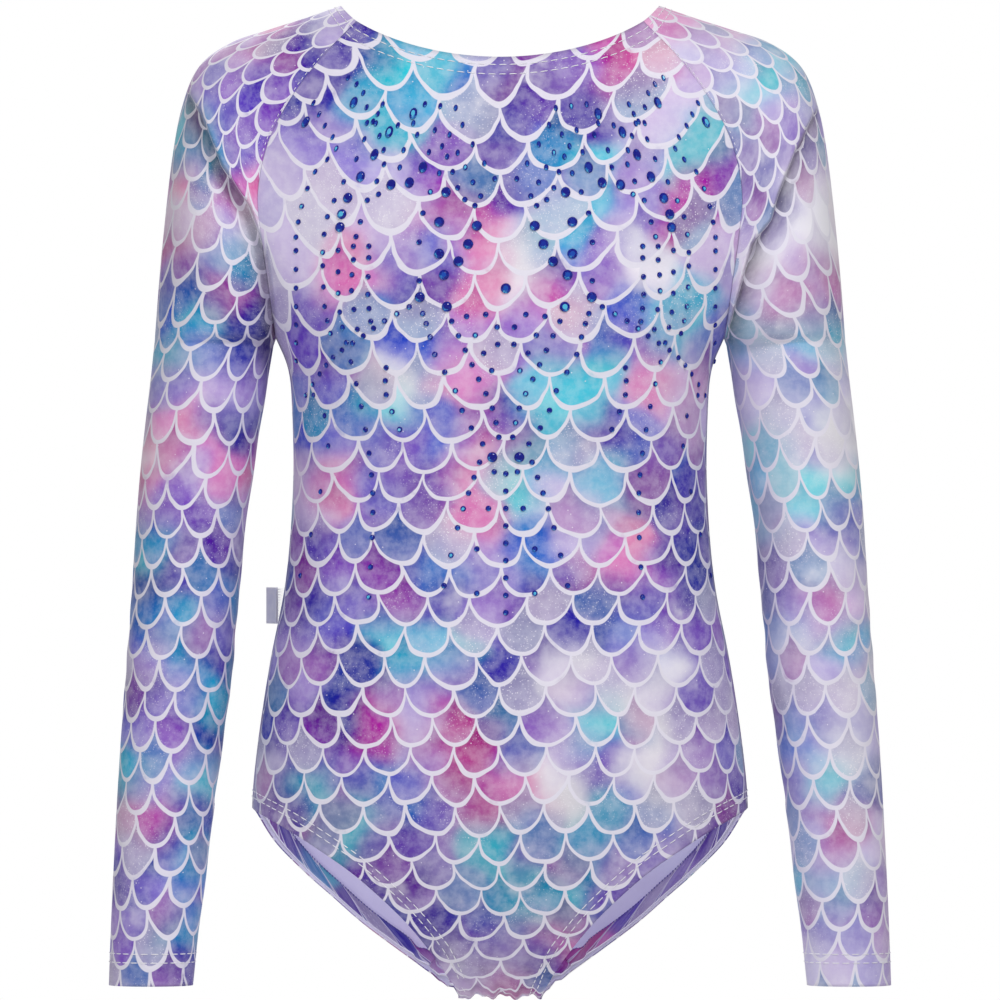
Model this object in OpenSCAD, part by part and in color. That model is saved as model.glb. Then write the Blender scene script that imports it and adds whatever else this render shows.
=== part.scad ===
// Long-sleeved raglan gymnastics leotard for a child, as worn, in millimetres.
// +Z is up, the chest faces -Y and the wearer's left is +X.
// The origin is midway between the two neck points, at the top of the shoulders.

/* [Body] */
// Drop from the neck points to the crotch
body_h = 519; // [505:1:535]
// Half width just under the arms
chest_w2 = 117.5; // [114:0.5:119]
// Half width at the waist
waist_w2 = 108.5; // [102:0.5:114]
// Half width at the hip, where the side seams end
hip_w2 = 130; // [124:0.5:136]
// Depth from the side seam to the front of the chest
chest_d = 78; // [70:1:84]
// Depth from the side seam to the front of the belly
belly_d = 80; // [72:1:88]
// Depth from the side seam to the back of the seat
seat_d = 92; // [84:1:98]
// Drop from the neck points to the underarm
underarm_h = 174; // [168:1:180]
// Drop from the neck points to the top of the leg openings
leg_h = 420; // [412:1:428]

/* [Neck] */
// Half width between the neck points
neck_w2 = 84.6; // [80:0.2:88]
// Depth of the front neckline
front_drop = 28; // [22:1:36]
// Depth of the back neckline
back_drop = 44; // [36:1:56]

/* [Sleeves] */
// Drop from the neck points to the end of the cuff
cuff_h = 513; // [500:1:525]
// Sleeve width at the underarm
sleeve_w = 62.6; // [58:0.2:65]
// Sleeve width at the cuff
cuff_w = 44; // [40:0.5:50]
// Sleeve depth, front to back, at the underarm
sleeve_d = 76; // [70:1:80]
// Sleeve depth, front to back, at the cuff
cuff_d = 47; // [42:1:52]
// How far the sleeve leans outwards between underarm and cuff
sleeve_lean = 33; // [24:1:40]

/* [Fabric] */
// Thickness of the knitted fabric
fabric = 0.9; // [0.7:0.1:1.1]
// Thickness of the elastic tape
elastic_t = 0.7; // [0.5:0.1:0.8]
// Width of the elastic tape
elastic_w = 6; // [4:0.5:7]
// Width of the folded neck and leg hems
hem_w = 10.5; // [9:0.5:12]
// Width of the folded cuff hems
cuff_hem_w = 18; // [14:1:22]
// Clearance between two layers
layer_gap = 0.7; // [0.4:0.05:0.8]
// Gap between two panels, which the seam closes
seam_gap = 0.6; // [0.5:0.1:0.8]
// Width of an overlocked seam allowance
seam_w = 5; // [4:0.5:6]
// Thickness of the sewing thread on the face
thread = 0.35; // [0.3:0.05:0.5]

/* [Trim] */
// Diameter of a large rhinestone
large_stone = 5.4; // [4:0.2:6]
// Diameter of a small rhinestone
small_stone = 3; // [2:0.2:3.4]
// Sideways shift of the stone pattern from the centre front
stone_shift = 3; // [-4:0.5:4]
// Height of the care label along the side seam
label_h = 19; // [14:1:24]
// Length of the care label, seam to fold
label_l = 16; // [12:1:20]
// Drop from the neck points to the middle of the care label
label_z = 314; // [300:1:330]

/* [Hidden] */

// Colours of the pieces
print_blue = [0.56, 0.50, 0.84];
print_lilac = [0.70, 0.62, 0.88];
print_aqua = [0.46, 0.74, 0.86];
inside = [0.90, 0.88, 0.95];
white_thread = [0.97, 0.96, 0.98];
sapphire = [0.08, 0.12, 0.45];

// Squareness of the body's cross-section
squareness = 2.4;
// Share of a panel's half that its crotch edge and its neckline take
t_crotch = 0.25;
t_neck = 0.5;
// Half width of the crotch
crotch_w2 = 21;
// Rows down a panel and rings down a sleeve cap and a sleeve
panel_rows = 30;
cap_rings = 12;
arm_rings = 10;
// Sides of a sleeve
arm_sides = 24;

// ---- Curves ----

function mix(a, b, k) = a + (b - a) * k;
function last(p) = len(p) - 1;

// The stretch of a curve that holds t, its slope at a point, and the smooth curve itself
function stretch(p, t, i = 0) = i >= last(p) - 1 || t < p[i + 1][0] ? i : stretch(p, t, i + 1);
function slope(p, i) =
    let (a = max(i - 1, 0), b = min(i + 1, last(p)))
    (p[b][1] - p[a][1]) / (p[b][0] - p[a][0]);
function curve(p, t) =
    let (i = stretch(p, t), h = p[i + 1][0] - p[i][0], k = (t - p[i][0]) / h)
    (2 * k ^ 3 - 3 * k ^ 2 + 1) * p[i][1]
    + (k ^ 3 - 2 * k ^ 2 + k) * h * slope(p, i)
    + (3 * k ^ 2 - 2 * k ^ 3) * p[i + 1][1]
    + (k ^ 3 - k ^ 2) * h * slope(p, i + 1);
// A smooth curve through points that are evenly spaced from 0 to 1
function along(pts, k) = curve([for (i = [0 : last(pts)]) [i / last(pts), pts[i]]], k);

// ---- The body's surface: half width, front and back depth at each height ----

width_at = [
    [-body_h, hip_w2], [-leg_h, hip_w2], [-390, hip_w2 - 2.5], [-345, hip_w2 - 9.2],
    [-300, waist_w2 + 3.8], [-250, waist_w2], [-210, waist_w2 + 0.6], [-190, waist_w2 + 2.6],
    [-underarm_h, chest_w2],
    [-160, chest_w2 + 7], [-146, chest_w2 + 14], [-120, chest_w2 + 26], [-98, chest_w2 + 32],
    [-60, chest_w2 + 33], [-28, chest_w2 + 28], [0, chest_w2 + 23]
];
front_at = [
    [-body_h, 0], [2 - body_h, 14], [8 - body_h, 28], [19 - body_h, 42], [37 - body_h, 56],
    [-458, belly_d - 12], [-430, belly_d - 4], [-400, belly_d], [-350, belly_d - 2],
    [-300, chest_d - 5], [-250, chest_d - 7], [-200, chest_d - 2], [-160, chest_d],
    [-120, chest_d - 4], [-80, chest_d - 12], [-50, chest_d - 19], [-28, chest_d - 27],
    [-12, chest_d - 39], [0, chest_d - 52]
];
back_at = [
    [-body_h, 0], [2 - body_h, 16], [8 - body_h, 33], [19 - body_h, 50], [37 - body_h, 66],
    [-458, seat_d - 12], [-430, seat_d - 3], [-400, seat_d], [-350, seat_d - 6],
    [-300, seat_d - 18], [-250, seat_d - 24], [-200, seat_d - 18], [-160, seat_d - 14],
    [-120, seat_d - 14], [-80, seat_d - 18], [-50, seat_d - 26], [-28, seat_d - 38],
    [-12, seat_d - 51], [0, seat_d - 64]
];

function half_width(z) = curve(width_at, z);
function depth(side, z) = side < 0 ? curve(front_at, z) : curve(back_at, z);
// The fabric's face at x and z, on the front (side -1) or the back (side 1)
function face_y(side, x, z) =
    let (r = min(abs(x) / half_width(z), 1))
    side * (seam_gap + max(depth(side, z) - seam_gap, 0) * (1 - r ^ squareness) ^ (1 / squareness));
function face(side, x, z) = [x, face_y(side, x, z), z];

// ---- The cut edges, for the left half: [x, z] ----

function neck_edge_z(drop, x) = -drop * (1 - (x / neck_w2) ^ 2) ^ 0.77;
function drop_of(side) = side < 0 ? front_drop : back_drop;
// Where the neckline meets the raglan seam
neck_seam_x = 75;

function raglan(side, s) =
    let (top = neck_edge_z(drop_of(side), neck_seam_x), lift = side < 0 ? 0 : 2)
    along([
        [neck_seam_x, top], [94, -29 + lift], [110, -51 + lift], [121, -73 + lift],
        [126, -98], [124.5, -120], [121, -146], [chest_w2, -underarm_h]
    ], s);

function top_edge(side, t) =
    t < t_neck
    ? let (x = neck_seam_x * t / t_neck) [x, neck_edge_z(drop_of(side), x)]
    : raglan(side, (t - t_neck) / (1 - t_neck));

front_leg = [
    [crotch_w2, -body_h], [30, -503], [42, -486.5], [54.5, -472.5], [75, -454],
    [95, -440], [112, -429.5], [hip_w2, -leg_h]
];
back_leg = [
    [crotch_w2, -body_h], [38, -507.5], [56, -495], [73, -482.5], [89, -468.5],
    [103, -456], [119, -439], [hip_w2, -leg_h]
];

function leg_edge(side, k) = along(side < 0 ? front_leg : back_leg, k);
function bottom_edge(side, t) =
    t < t_crotch
    ? [crotch_w2 * t / t_crotch, -body_h]
    : leg_edge(side, (t - t_crotch) / (1 - t_crotch));

// ---- Panels: t runs from side seam (-1) through the centre (0) to side seam (1), v down ----

function panel_point(side, t, v) =
    let (
        a = top_edge(side, abs(t)),
        b = bottom_edge(side, abs(t)),
        crowd = mix(1.7, 1, min(max((abs(t) - t_crotch) * 3, 0), 1)),
        k = 1 - (1 - v) ^ crowd,
        z = mix(a[1], b[1], k),
        r = mix(a[0] / half_width(a[1]), b[0] / half_width(b[1]), k)
    )
    face(side, sign(t) * r * half_width(z), z);

half_columns = [
    for (i = [0 : 3]) t_crotch * i / 4,
    for (i = [0 : 4]) mix(t_crotch, t_neck, i / 5),
    for (i = [0 : 14]) mix(t_neck, 1, sin(90 * i / 14))
];
columns = [
    for (i = [last(half_columns) : -1 : 1]) -half_columns[i],
    for (t = half_columns) t
];

// Rows down a panel, closer together at its neckline and at its crotch
panel_shares = [
    for (j = [0 : panel_rows]) let (k = j / panel_rows) mix(k, (1 - cos(180 * k)) / 2, 0.8)
];

// A point on a panel, w away from its leg edge along the fabric
function leg_point(side, t, w) =
    let (
        k = (abs(t) - t_crotch) / (1 - t_crotch),
        e = leg_edge(side, k),
        d = leg_edge(side, min(k + 0.02, 1)) - leg_edge(side, max(k - 0.02, 0)),
        // level at the crotch, square to the edge beyond it, and upright at the side seam
        low = min(k / 0.2, 1),
        high = max((k - 0.8) / 0.2, 0),
        n = unit(mix(mix([-1, 0], unit([-d[1], d[0]]), low), [0, 1], high)),
        narrow = side < 0 ? mix(0.6, 1, low) : mix(0.6, 1, k ^ 3),
        p = e + w * narrow * n,
        edge = half_width(max(p[1], -body_h))
    )
    face(side, sign(t) * min(p[0], edge), max(p[1], -body_h));
// A point on a panel, w below its neckline
function neck_point(side, t, w) =
    let (x = neck_seam_x * abs(t) / t_neck, z = neck_edge_z(drop_of(side), x))
    face(side, sign(t) * x * (1 + w / 260), z - w);

// ---- Sleeves: a cap from neck to underarm, then a tube to the cuff ----

cap_top = [
    [neck_w2, 0], [103, -6], [122, -11.5], [141.6, -18.3], [158, -31], [167, -52],
    [172.5, -80], [177, -123], [chest_w2 + 1.2 + sleeve_w, -underarm_h - 2]
];
cap_middle = [
    [80, -35], [108, -48], [130, -78], [145, -110],
    [chest_w2 + 1.2 + sleeve_w / 2, -underarm_h - 2]
];
cap_reach = [55, 78, 97, 128, 180];
cap_depth = [40, 47, 47, 47, sleeve_d / 2];

function cap_ring(s, k) =
    let (c = along(cap_middle, s), a = along(cap_top, s) - c, turn = k * along(cap_reach, s))
    [c[0] + a[0] * cos(turn), along(cap_depth, s) * sin(turn), c[1] + a[1] * cos(turn)];
function raglan_point(side, s) = let (p = raglan(side, s)) face(side, p[0], p[1]);
// s runs from the neck to the underarm, k from the front seam (-1) to the back seam (1)
function cap_point(s, k) =
    cap_ring(s, k)
    + ((1 - k) / 2) ^ 4 * (raglan_point(-1, s) - cap_ring(s, -1))
    + ((1 + k) / 2) ^ 4 * (raglan_point(1, s) - cap_ring(s, 1));

arm_top = -underarm_h - 3;
arm_widths = [sleeve_w, sleeve_w - 4.4, sleeve_w - 7, sleeve_w - 12, cuff_w];
arm_depths = [sleeve_d, sleeve_d - 9, sleeve_d - 15, sleeve_d - 21, cuff_d];
arm_middles = [0, 11, 18, 26.5, sleeve_lean];

// k runs from the underarm (0) to the cuff (1), turn is 0 on the outside and 180 at the underarm
function arm_x(k) = chest_w2 + 1.2 + sleeve_w / 2 + along(arm_middles, k);
function arm_point(k, turn) =
    let (w = along(arm_widths, k) / 2, d = along(arm_depths, k) / 2)
    [arm_x(k) + w * cos(turn), d * sin(turn), mix(arm_top, -cuff_h, k)];
arm_turns = [for (i = [0 : arm_sides - 1]) 180 + i * 360 / arm_sides];

// ---- Shells: a grid of points on the face, made into a closed solid under it ----

function unit(v) = v / max(norm(v), 1e-9);
function row_of(g, i, loop) = loop ? (i + len(g)) % len(g) : min(max(i, 0), last(g));
function normal_at(g, i, j, loop) =
    let (
        across = g[row_of(g, i + 1, loop)][j] - g[row_of(g, i - 1, loop)][j],
        down = g[i][min(j + 1, last(g[i]))] - g[i][max(j - 1, 0)]
    )
    unit(cross(across, down));

// Grid g is columns of points, top to bottom; lift is how deep under the face the solid starts
module shell(g, thick, lift = 0, loop = false, flip = false) {
    n = len(g);
    m = len(g[0]);
    way = flip ? -1 : 1;
    layer = [for (deep = [lift, lift + thick]) for (i = [0 : n - 1]) for (j = [0 : m - 1])
        g[i][j] + way * deep * normal_at(g, i, j, loop)];
    spans = loop ? n : n - 1;
    inner = n * m;
    quads = [
        for (i = [0 : spans - 1]) for (j = [0 : m - 2])
            let (a = i * m + j, b = ((i + 1) % n) * m + j) each [
                [a, b, b + 1, a + 1],
                [inner + a, inner + a + 1, inner + b + 1, inner + b]
            ],
        for (i = [0 : spans - 1])
            let (a = i * m, b = ((i + 1) % n) * m, e = m - 1) each [
                [a, inner + a, inner + b, b],
                [a + e, b + e, inner + b + e, inner + a + e]
            ],
        if (!loop) for (j = [0 : m - 2]) each [
            [j, j + 1, inner + j + 1, inner + j],
            [(n - 1) * m + j, inner + (n - 1) * m + j, inner + (n - 1) * m + j + 1, (n - 1) * m + j + 1]
        ]
    ];
    triangles = [for (q = quads) each (flip
        ? [[q[0], q[2], q[1]], [q[0], q[3], q[2]]]
        : [[q[0], q[1], q[2]], [q[0], q[2], q[3]]])];
    polyhedron(layer, triangles, convexity = 8);
}

// Under the fabric: the elastic, then the folded hem
elastic_lift = fabric + layer_gap;
hem_lift = elastic_lift + elastic_t + layer_gap + 0.2;
thread_lift = -layer_gap - thread;

module sides(right) {
    if (right) mirror([1, 0, 0]) children();
    else children();
}

// ---- Panels ----

module panel(side) {
    grid = [for (t = columns) [for (v = panel_shares) panel_point(side, t, v)]];
    shell(grid, fabric, flip = side > 0);
}
module front_panel() {
    color(print_blue) panel(-1);
}
module back_panel() {
    color(print_lilac) panel(1);
}

module sleeve_cap(right) {
    grid = [for (i = [0 : 20]) [for (j = [0 : cap_rings])
        cap_point(j / cap_rings, mix(-0.975, 0.975, i / 20))]];
    color(print_aqua) sides(right) shell(grid, fabric);
}
module sleeve(right) {
    grid = [for (turn = arm_turns) [for (j = [0 : arm_rings]) arm_point(j / arm_rings, turn)]];
    color(print_aqua) sides(right) shell(grid, fabric, loop = true);
}

// ---- Lining, hems and elastics ----

// The lining lies over the crotch seam, from the front panel to the back panel
module crotch_lining() {
    rise = [for (z = [20, 14, 10, 6, 3, 1, 0.2]) z * 3];
    path = [for (h = rise) [-1, h], for (i = [last(rise) : -1 : 0]) [1, rise[i]]];
    grid = [for (x = [-9 : 3 : 9]) [for (p = path)
        let (z = p[1] - body_h) face(p[0], x * (1 + p[1] / 70), z)]];
    color(inside) shell(grid, fabric, lift = hem_lift + 0.4);
}

// Steps along a leg edge, from the crotch to the side seam
leg_steps = [for (t = half_columns) if (t >= t_crotch) t];
fine_leg_steps = [for (i = [0 : 0.5 : last(leg_steps)])
    mix(leg_steps[floor(i)], leg_steps[ceil(i)], i - floor(i))];
function leg_loop(w, ts) = [
    for (t = ts) leg_point(-1, t, w),
    for (i = [last(ts) - 1 : -1 : 0]) leg_point(1, ts[i], w)
];
// Columns of points across a band, from its rings
function ring_grid(rings) = [for (i = [0 : last(rings[0])]) [for (r = rings) r[i]]];
function band_steps(from, to) = abs(to - from) > 2 ? 3 : 1;

module leg_band(right, from, to, thick, lift, ts = leg_steps) {
    n = band_steps(from, to);
    rings = [for (i = [0 : n]) leg_loop(mix(to, from, i / n), ts)];
    sides(right) shell(ring_grid(rings), thick, lift, loop = true);
}
module leg_hem(right) {
    color(inside) leg_band(right, 0.4, hem_w, fabric, hem_lift);
}
module leg_elastic(right) {
    color(white_thread) leg_band(right, 1.6, 1.6 + elastic_w, elastic_t, elastic_lift + 0.3);
}

neck_ts = [for (t = columns) if (abs(t) <= t_neck) t];
function cap_neck(k, w) = cap_point(w / 215, k);
function neck_loop(w) = [
    for (t = neck_ts) neck_point(-1, t, w),
    for (k = [-0.8 : 0.2 : 0.8]) cap_neck(k, w),
    for (i = [last(neck_ts) : -1 : 0]) neck_point(1, neck_ts[i], w),
    for (k = [0.8 : -0.2 : -0.8]) let (p = cap_neck(k, w)) [-p[0], p[1], p[2]]
];
module neck_band(from, to, thick, lift) {
    n = band_steps(from, to);
    rings = [for (i = [0 : n]) neck_loop(mix(from, to, i / n))];
    shell(ring_grid(rings), thick, lift, loop = true);
}
module neck_hem() {
    color(inside) neck_band(0.4, hem_w, fabric, hem_lift);
}
module neck_elastic() {
    color(white_thread) neck_band(1.6, 1.6 + elastic_w, elastic_t, elastic_lift);
}

function cuff_ring(w) = [for (turn = arm_turns) arm_point(1 - w / (cuff_h + arm_top), turn)];
module cuff_band(right, from, to, thick, lift) {
    sides(right) shell(ring_grid([cuff_ring(to), cuff_ring(from)]), thick, lift, loop = true);
}
module cuff_hem(right) {
    color(inside) cuff_band(right, 0.4, cuff_hem_w, fabric, fabric + layer_gap);
}

// ---- Seams: the overlocked allowance inside, along each join ----

// Across a raglan seam: a point on the panel, one on the seam, one on the sleeve cap
function across_raglan(side, s) =
    let (
        p = raglan(side, s),
        d = raglan(side, s + 0.01) - raglan(side, s - 0.01),
        q = p + seam_w / 2 * [d[1], -d[0]] / norm(d)
    )
    [face(side, q[0], q[1]), raglan_point(side, s), cap_point(s, side * (1 - seam_w / 160))];

module raglan_seam(right, side) {
    grid = [for (i = [0 : 12]) across_raglan(side, mix(0.09, 0.9, i / 12))];
    color(white_thread) sides(right) shell(grid, elastic_t, elastic_lift + 0.3, flip = side < 0);
}
module side_seam(right) {
    heights = [for (i = [0 : 20]) mix(-underarm_h - 6, 14 - leg_h, i / 20)];
    grid = [for (y = [-seam_w / 2, seam_w / 2]) [for (z = heights) [half_width(z), y, z]]];
    color(white_thread) sides(right) shell(grid, elastic_t, elastic_lift + 0.4);
}
module underarm_seam(right) {
    steps = [for (i = [0 : arm_rings - 1]) mix(0.02, 0.92, i / (arm_rings - 1))];
    grid = [for (turn = [175, 185]) [for (k = steps) arm_point(k, turn)]];
    color(white_thread) sides(right) shell(grid, elastic_t, elastic_lift);
}
module crotch_seam() {
    up = 0.3 - body_h;
    grid = [for (x = [-8 : 4 : 8]) [face(-1, x, up), [x, 0, -body_h], face(1, x, up)]];
    color(white_thread) shell(grid, elastic_t, elastic_lift);
}

// ---- Face stitching: two parallel rows of thread at each hem ----

module leg_stitching(right) {
    color(white_thread) for (w = [6.3, 9.6])
        leg_band(right, w, w + 0.6, thread, thread_lift - 0.35, fine_leg_steps);
}
module neck_stitching() {
    color(white_thread) for (w = [4.2, 9.2]) neck_band(w, w + 0.6, thread, thread_lift - 0.15);
}
module cuff_stitching(right) {
    color(white_thread) for (w = [12.4, 17]) cuff_band(right, w, w + 0.6, thread, thread_lift);
}

// ---- Rhinestones: chains of stones, [out from the centre, height], mirrored ----

large_chains = [
    [6, [[60.5, -67.5], [73, -87], [83.5, -105], [86, -117]]],
    [3, [[43, -86], [50, -94], [59.5, -95]]],
    [4, [[31, -99], [34.5, -114.5], [34.5, -131], [32, -142]]],
    [3, [[15, -116.5], [19.5, -126], [24.5, -135]]],
    [2, [[44.5, -153.5], [30.5, -158.5]]],
    [2, [[79, -52], [104, -62]]],
    [2, [[48, -58], [7, -236.4]]]
];
small_chains = [
    [12, [[82, -39], [74.5, -46], [72, -60], [75, -76], [86, -97], [93, -113], [95, -130]]],
    [9, [[69, -62], [64, -74], [63.5, -86], [71, -101], [76.5, -118], [79, -127]]],
    [11, [[100, -52], [94, -64], [88, -76], [99, -88], [106, -106], [109, -122]]],
    [8, [[48, -63], [44.5, -72], [34.5, -87], [40, -101], [44.5, -118], [44.8, -145]]],
    [8, [[42, -53], [35, -71], [31, -79], [27, -90], [23, -101], [16, -106]]],
    [6, [[34, -54], [28, -72], [23, -82], [18, -92], [13, -101]]],
    [5, [[26, -55], [21, -67], [13, -81], [5.7, -92]]],
    [5, [[56, -64], [53, -77], [55, -86], [66, -100], [71, -127]]],
    [3, [[64, -53], [66.5, -58], [67.5, -63]]],
    [7, [[109, -129], [109, -158], [109, -186]]],
    [5, [[95, -137], [94, -158], [91, -172]]],
    [17, [[87, -129], [86.5, -158], [82, -180], [75, -210], [70, -242], [69, -269], [71, -309]]],
    [5, [[79, -134], [80, -150], [77, -170]]],
    [5, [[71, -133], [71.5, -152], [70, -166]]],
    [12, [[50, -158.5], [64, -166.5], [76, -175], [88, -183], [96, -192], [104, -204]]],
    [9, [[43, -162], [40, -171], [36, -185], [27, -200], [21, -216], [12, -229.5]]],
    [9, [[28, -166], [21, -181], [14, -196], [7, -211], [3.6, -226]]],
    [4, [[20.3, -163.5], [13.6, -178], [7.3, -191.5]]],
    [3, [[10.4, -162.5], [4.5, -169], [4.2, -178]]],
    [7, [[13.6, -239], [19.3, -255], [25, -273], [32, -303]]],
    [4, [[6, -244], [9, -263], [15, -284], [15, -307]]],
    [6, [[100, -204], [92, -224], [98, -262], [107, -298]]],
    [5, [[62, -190], [62, -204], [55, -222]]]
];
centre_chain = [9, [[0, -245], [0, -281], [0, -317]]];

function chain(c) = [for (i = [0 : c[0] - 1]) along(c[1], i / (c[0] - 1))];
function stones(chains) = [
    for (c = chains) for (p = chain(c)) for (way = [-1, 1]) [way * p[0] + stone_shift, p[1]]
];

module stone(p, d) {
    n = unit(cross(
        face(-1, p[0] + 1, p[1]) - face(-1, p[0] - 1, p[1]),
        face(-1, p[0], p[1] + 1) - face(-1, p[0], p[1] - 1)
    ));
    foot = face(-1, p[0], p[1]) + n * 0.7;
    translate(foot) rotate([0, acos(n[2]), atan2(n[1], n[0])])
        cylinder(h = d * 0.28, d1 = d, d2 = d * 0.62, $fn = 24);
}
module large_rhinestones() {
    spots = [[stone_shift, -149], each stones(large_chains)];
    color(sapphire) for (p = spots) stone(p, large_stone);
}
module small_rhinestones() {
    middle = [for (p = chain(centre_chain)) [p[0] + stone_shift, p[1]]];
    color(sapphire) for (p = [each stones(small_chains), each middle]) stone(p, small_stone);
}

// ---- Care label: a folded strip sewn into the right side seam ----

label_x = -half_width(-label_z) - 2;
label_turn = 22;

module label_stitching() {
    color(white_thread) translate([label_x, 0, -label_z - label_h / 2])
        cylinder(h = label_h, r = 0.4, $fn = 24);
}
module care_label() {
    color(inside) translate([label_x, 0, -label_z]) rotate(label_turn)
        translate([-0.35, 0.9, -label_h / 2]) cube([0.7, label_l, label_h]);
}

front_panel();
back_panel();
sleeve_cap(false);  // left_sleeve_cap
sleeve_cap(true);  // right_sleeve_cap
sleeve(false);  // left_sleeve
sleeve(true);  // right_sleeve
crotch_lining();
neck_hem();
leg_hem(false);  // left_leg_hem
leg_hem(true);  // right_leg_hem
cuff_hem(false);  // left_cuff_hem
cuff_hem(true);  // right_cuff_hem
neck_elastic();
leg_elastic(false);  // left_leg_elastic
leg_elastic(true);  // right_leg_elastic
raglan_seam(false, -1);  // left_front_raglan_seam
raglan_seam(true, -1);  // right_front_raglan_seam
raglan_seam(false, 1);  // left_back_raglan_seam
raglan_seam(true, 1);  // right_back_raglan_seam
side_seam(false);  // left_side_seam
side_seam(true);  // right_side_seam
underarm_seam(false);  // left_underarm_seam
underarm_seam(true);  // right_underarm_seam
crotch_seam();
neck_stitching();
leg_stitching(false);  // left_leg_stitching
leg_stitching(true);  // right_leg_stitching
cuff_stitching(false);  // left_cuff_stitching
cuff_stitching(true);  // right_cuff_stitching
large_rhinestones();
small_rhinestones();
label_stitching();
care_label();
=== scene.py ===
# A child's long-sleeved gymnastics leotard, built piece by piece in the order it is sewn.
# Metres; +Z is up, the chest faces -Y and the wearer's left is +X.

import math

import bpy
import numpy as np
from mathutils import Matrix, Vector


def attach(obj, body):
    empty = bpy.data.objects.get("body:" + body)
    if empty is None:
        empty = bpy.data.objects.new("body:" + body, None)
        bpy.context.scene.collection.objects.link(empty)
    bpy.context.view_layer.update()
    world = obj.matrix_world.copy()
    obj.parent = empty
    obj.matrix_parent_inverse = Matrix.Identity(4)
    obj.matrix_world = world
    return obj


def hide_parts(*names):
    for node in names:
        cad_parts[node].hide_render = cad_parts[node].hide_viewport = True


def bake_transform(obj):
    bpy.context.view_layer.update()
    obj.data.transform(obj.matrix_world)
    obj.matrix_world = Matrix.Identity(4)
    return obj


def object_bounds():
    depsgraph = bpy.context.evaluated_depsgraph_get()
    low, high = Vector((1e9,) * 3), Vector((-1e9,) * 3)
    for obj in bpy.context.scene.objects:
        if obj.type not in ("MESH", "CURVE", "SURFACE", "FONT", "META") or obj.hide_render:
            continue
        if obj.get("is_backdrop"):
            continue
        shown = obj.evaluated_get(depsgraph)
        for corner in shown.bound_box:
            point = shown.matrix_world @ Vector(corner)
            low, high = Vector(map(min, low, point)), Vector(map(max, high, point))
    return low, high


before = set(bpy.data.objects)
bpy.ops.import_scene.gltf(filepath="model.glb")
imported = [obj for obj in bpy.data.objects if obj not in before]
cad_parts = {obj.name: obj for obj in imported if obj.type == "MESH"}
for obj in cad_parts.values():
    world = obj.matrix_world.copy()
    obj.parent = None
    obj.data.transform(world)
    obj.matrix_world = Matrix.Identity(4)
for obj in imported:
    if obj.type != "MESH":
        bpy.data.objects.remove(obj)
cad_low, cad_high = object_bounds()

# ---- Studio ----
# A round pale floor in white air, with soft lamps in front and behind and a level camera.
# The leotard is shown as worn, straight from the front.

floor_drop = 0.14
floor_radius = 1.25
floor_sides = 96
floor_mesh = bpy.data.meshes.new("studio_floor")
rim = [math.radians(360 * i / floor_sides) for i in range(floor_sides)]
floor_mesh.from_pydata(
    [
        (floor_radius * share * math.cos(turn), floor_radius * share * math.sin(turn), height)
        for share, height in ((0.985, 0), (1.0, -0.006), (1.0, -0.03)) for turn in rim
    ],
    [],
    [tuple(range(floor_sides))]
    + [
        (ring + after, ring + i, ring + floor_sides + i, ring + floor_sides + after)
        for ring in (0, floor_sides)
        for i, after in enumerate([*range(1, floor_sides), 0])
    ],
)
floor = bpy.data.objects.new("studio_floor", floor_mesh)
floor.location.z = cad_low.z - floor_drop
bpy.context.collection.objects.link(floor)
floor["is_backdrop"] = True

paint = bpy.data.materials.new("pale_floor_paint")
paint.use_nodes = True
paint_shader = paint.node_tree.nodes["Principled BSDF"]
paint_shader.inputs["Base Color"].default_value = (0.93, 0.93, 0.935, 1)
paint_shader.inputs["Roughness"].default_value = 0.9
paint_shader.inputs["Specular IOR Level"].default_value = 0.1
floor_mesh.materials.append(paint)

air_light = 0.34
sky = bpy.data.worlds.new("studio_air")
sky.use_nodes = True
air = sky.node_tree.nodes["Background"]
air.inputs["Color"].default_value = (1, 1, 1, 1)
seen = sky.node_tree.nodes.new("ShaderNodeMapRange")
seen.inputs["To Min"].default_value = air_light
seen.inputs["To Max"].default_value = 1.0
straight = sky.node_tree.nodes.new("ShaderNodeLightPath")
sky.node_tree.links.new(straight.outputs["Is Camera Ray"], seen.inputs["Value"])
sky.node_tree.links.new(seen.outputs[0], air.inputs["Strength"])
bpy.context.scene.world = sky
bpy.context.scene.view_settings.view_transform = "Standard"

middle = (cad_low + cad_high) / 2


def soft_lamp(name, place, size, watts):
    """A square soft box at a place, facing the middle of the leotard."""
    lamp = bpy.data.lights.new(name, "AREA")
    lamp.size = size
    lamp.energy = watts
    holder = bpy.data.objects.new(name, lamp)
    holder.location = place
    aim = middle - holder.location
    holder.rotation_euler = aim.to_track_quat("-Z", "Y").to_euler()
    bpy.context.collection.objects.link(holder)
    return holder


soft_lamp("key_lamp", (0.45, -1.35, 1.25), 0.55, 20)
soft_lamp("fill_lamp", (-0.75, -1.9, -0.46), 0.7, 7.5)
soft_lamp("back_lamp", (-0.6, 1.7, 0.9), 0.8, 12)

lens = 420
sensor = 36
view_width = 0.5225
view_middle_z = -0.2586
distance = view_width * lens / sensor
camera_data = bpy.data.cameras.new("front_camera")
camera_data.lens = lens
camera_data.sensor_width = sensor
camera_data.clip_end = 20
camera = bpy.data.objects.new("front_camera", camera_data)
camera.location = (0, cad_low.y * 0.3 - distance, view_middle_z)
camera.rotation_euler = (math.pi / 2, 0, 0)
bpy.context.collection.objects.link(camera)
bpy.context.scene.camera = camera

# ---- Front panel ----
# The front of the body, one cut of elastane knit from the neck to the crotch seam.
# The scale print is dyed into the face of the cloth, and its back stays pale.

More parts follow.
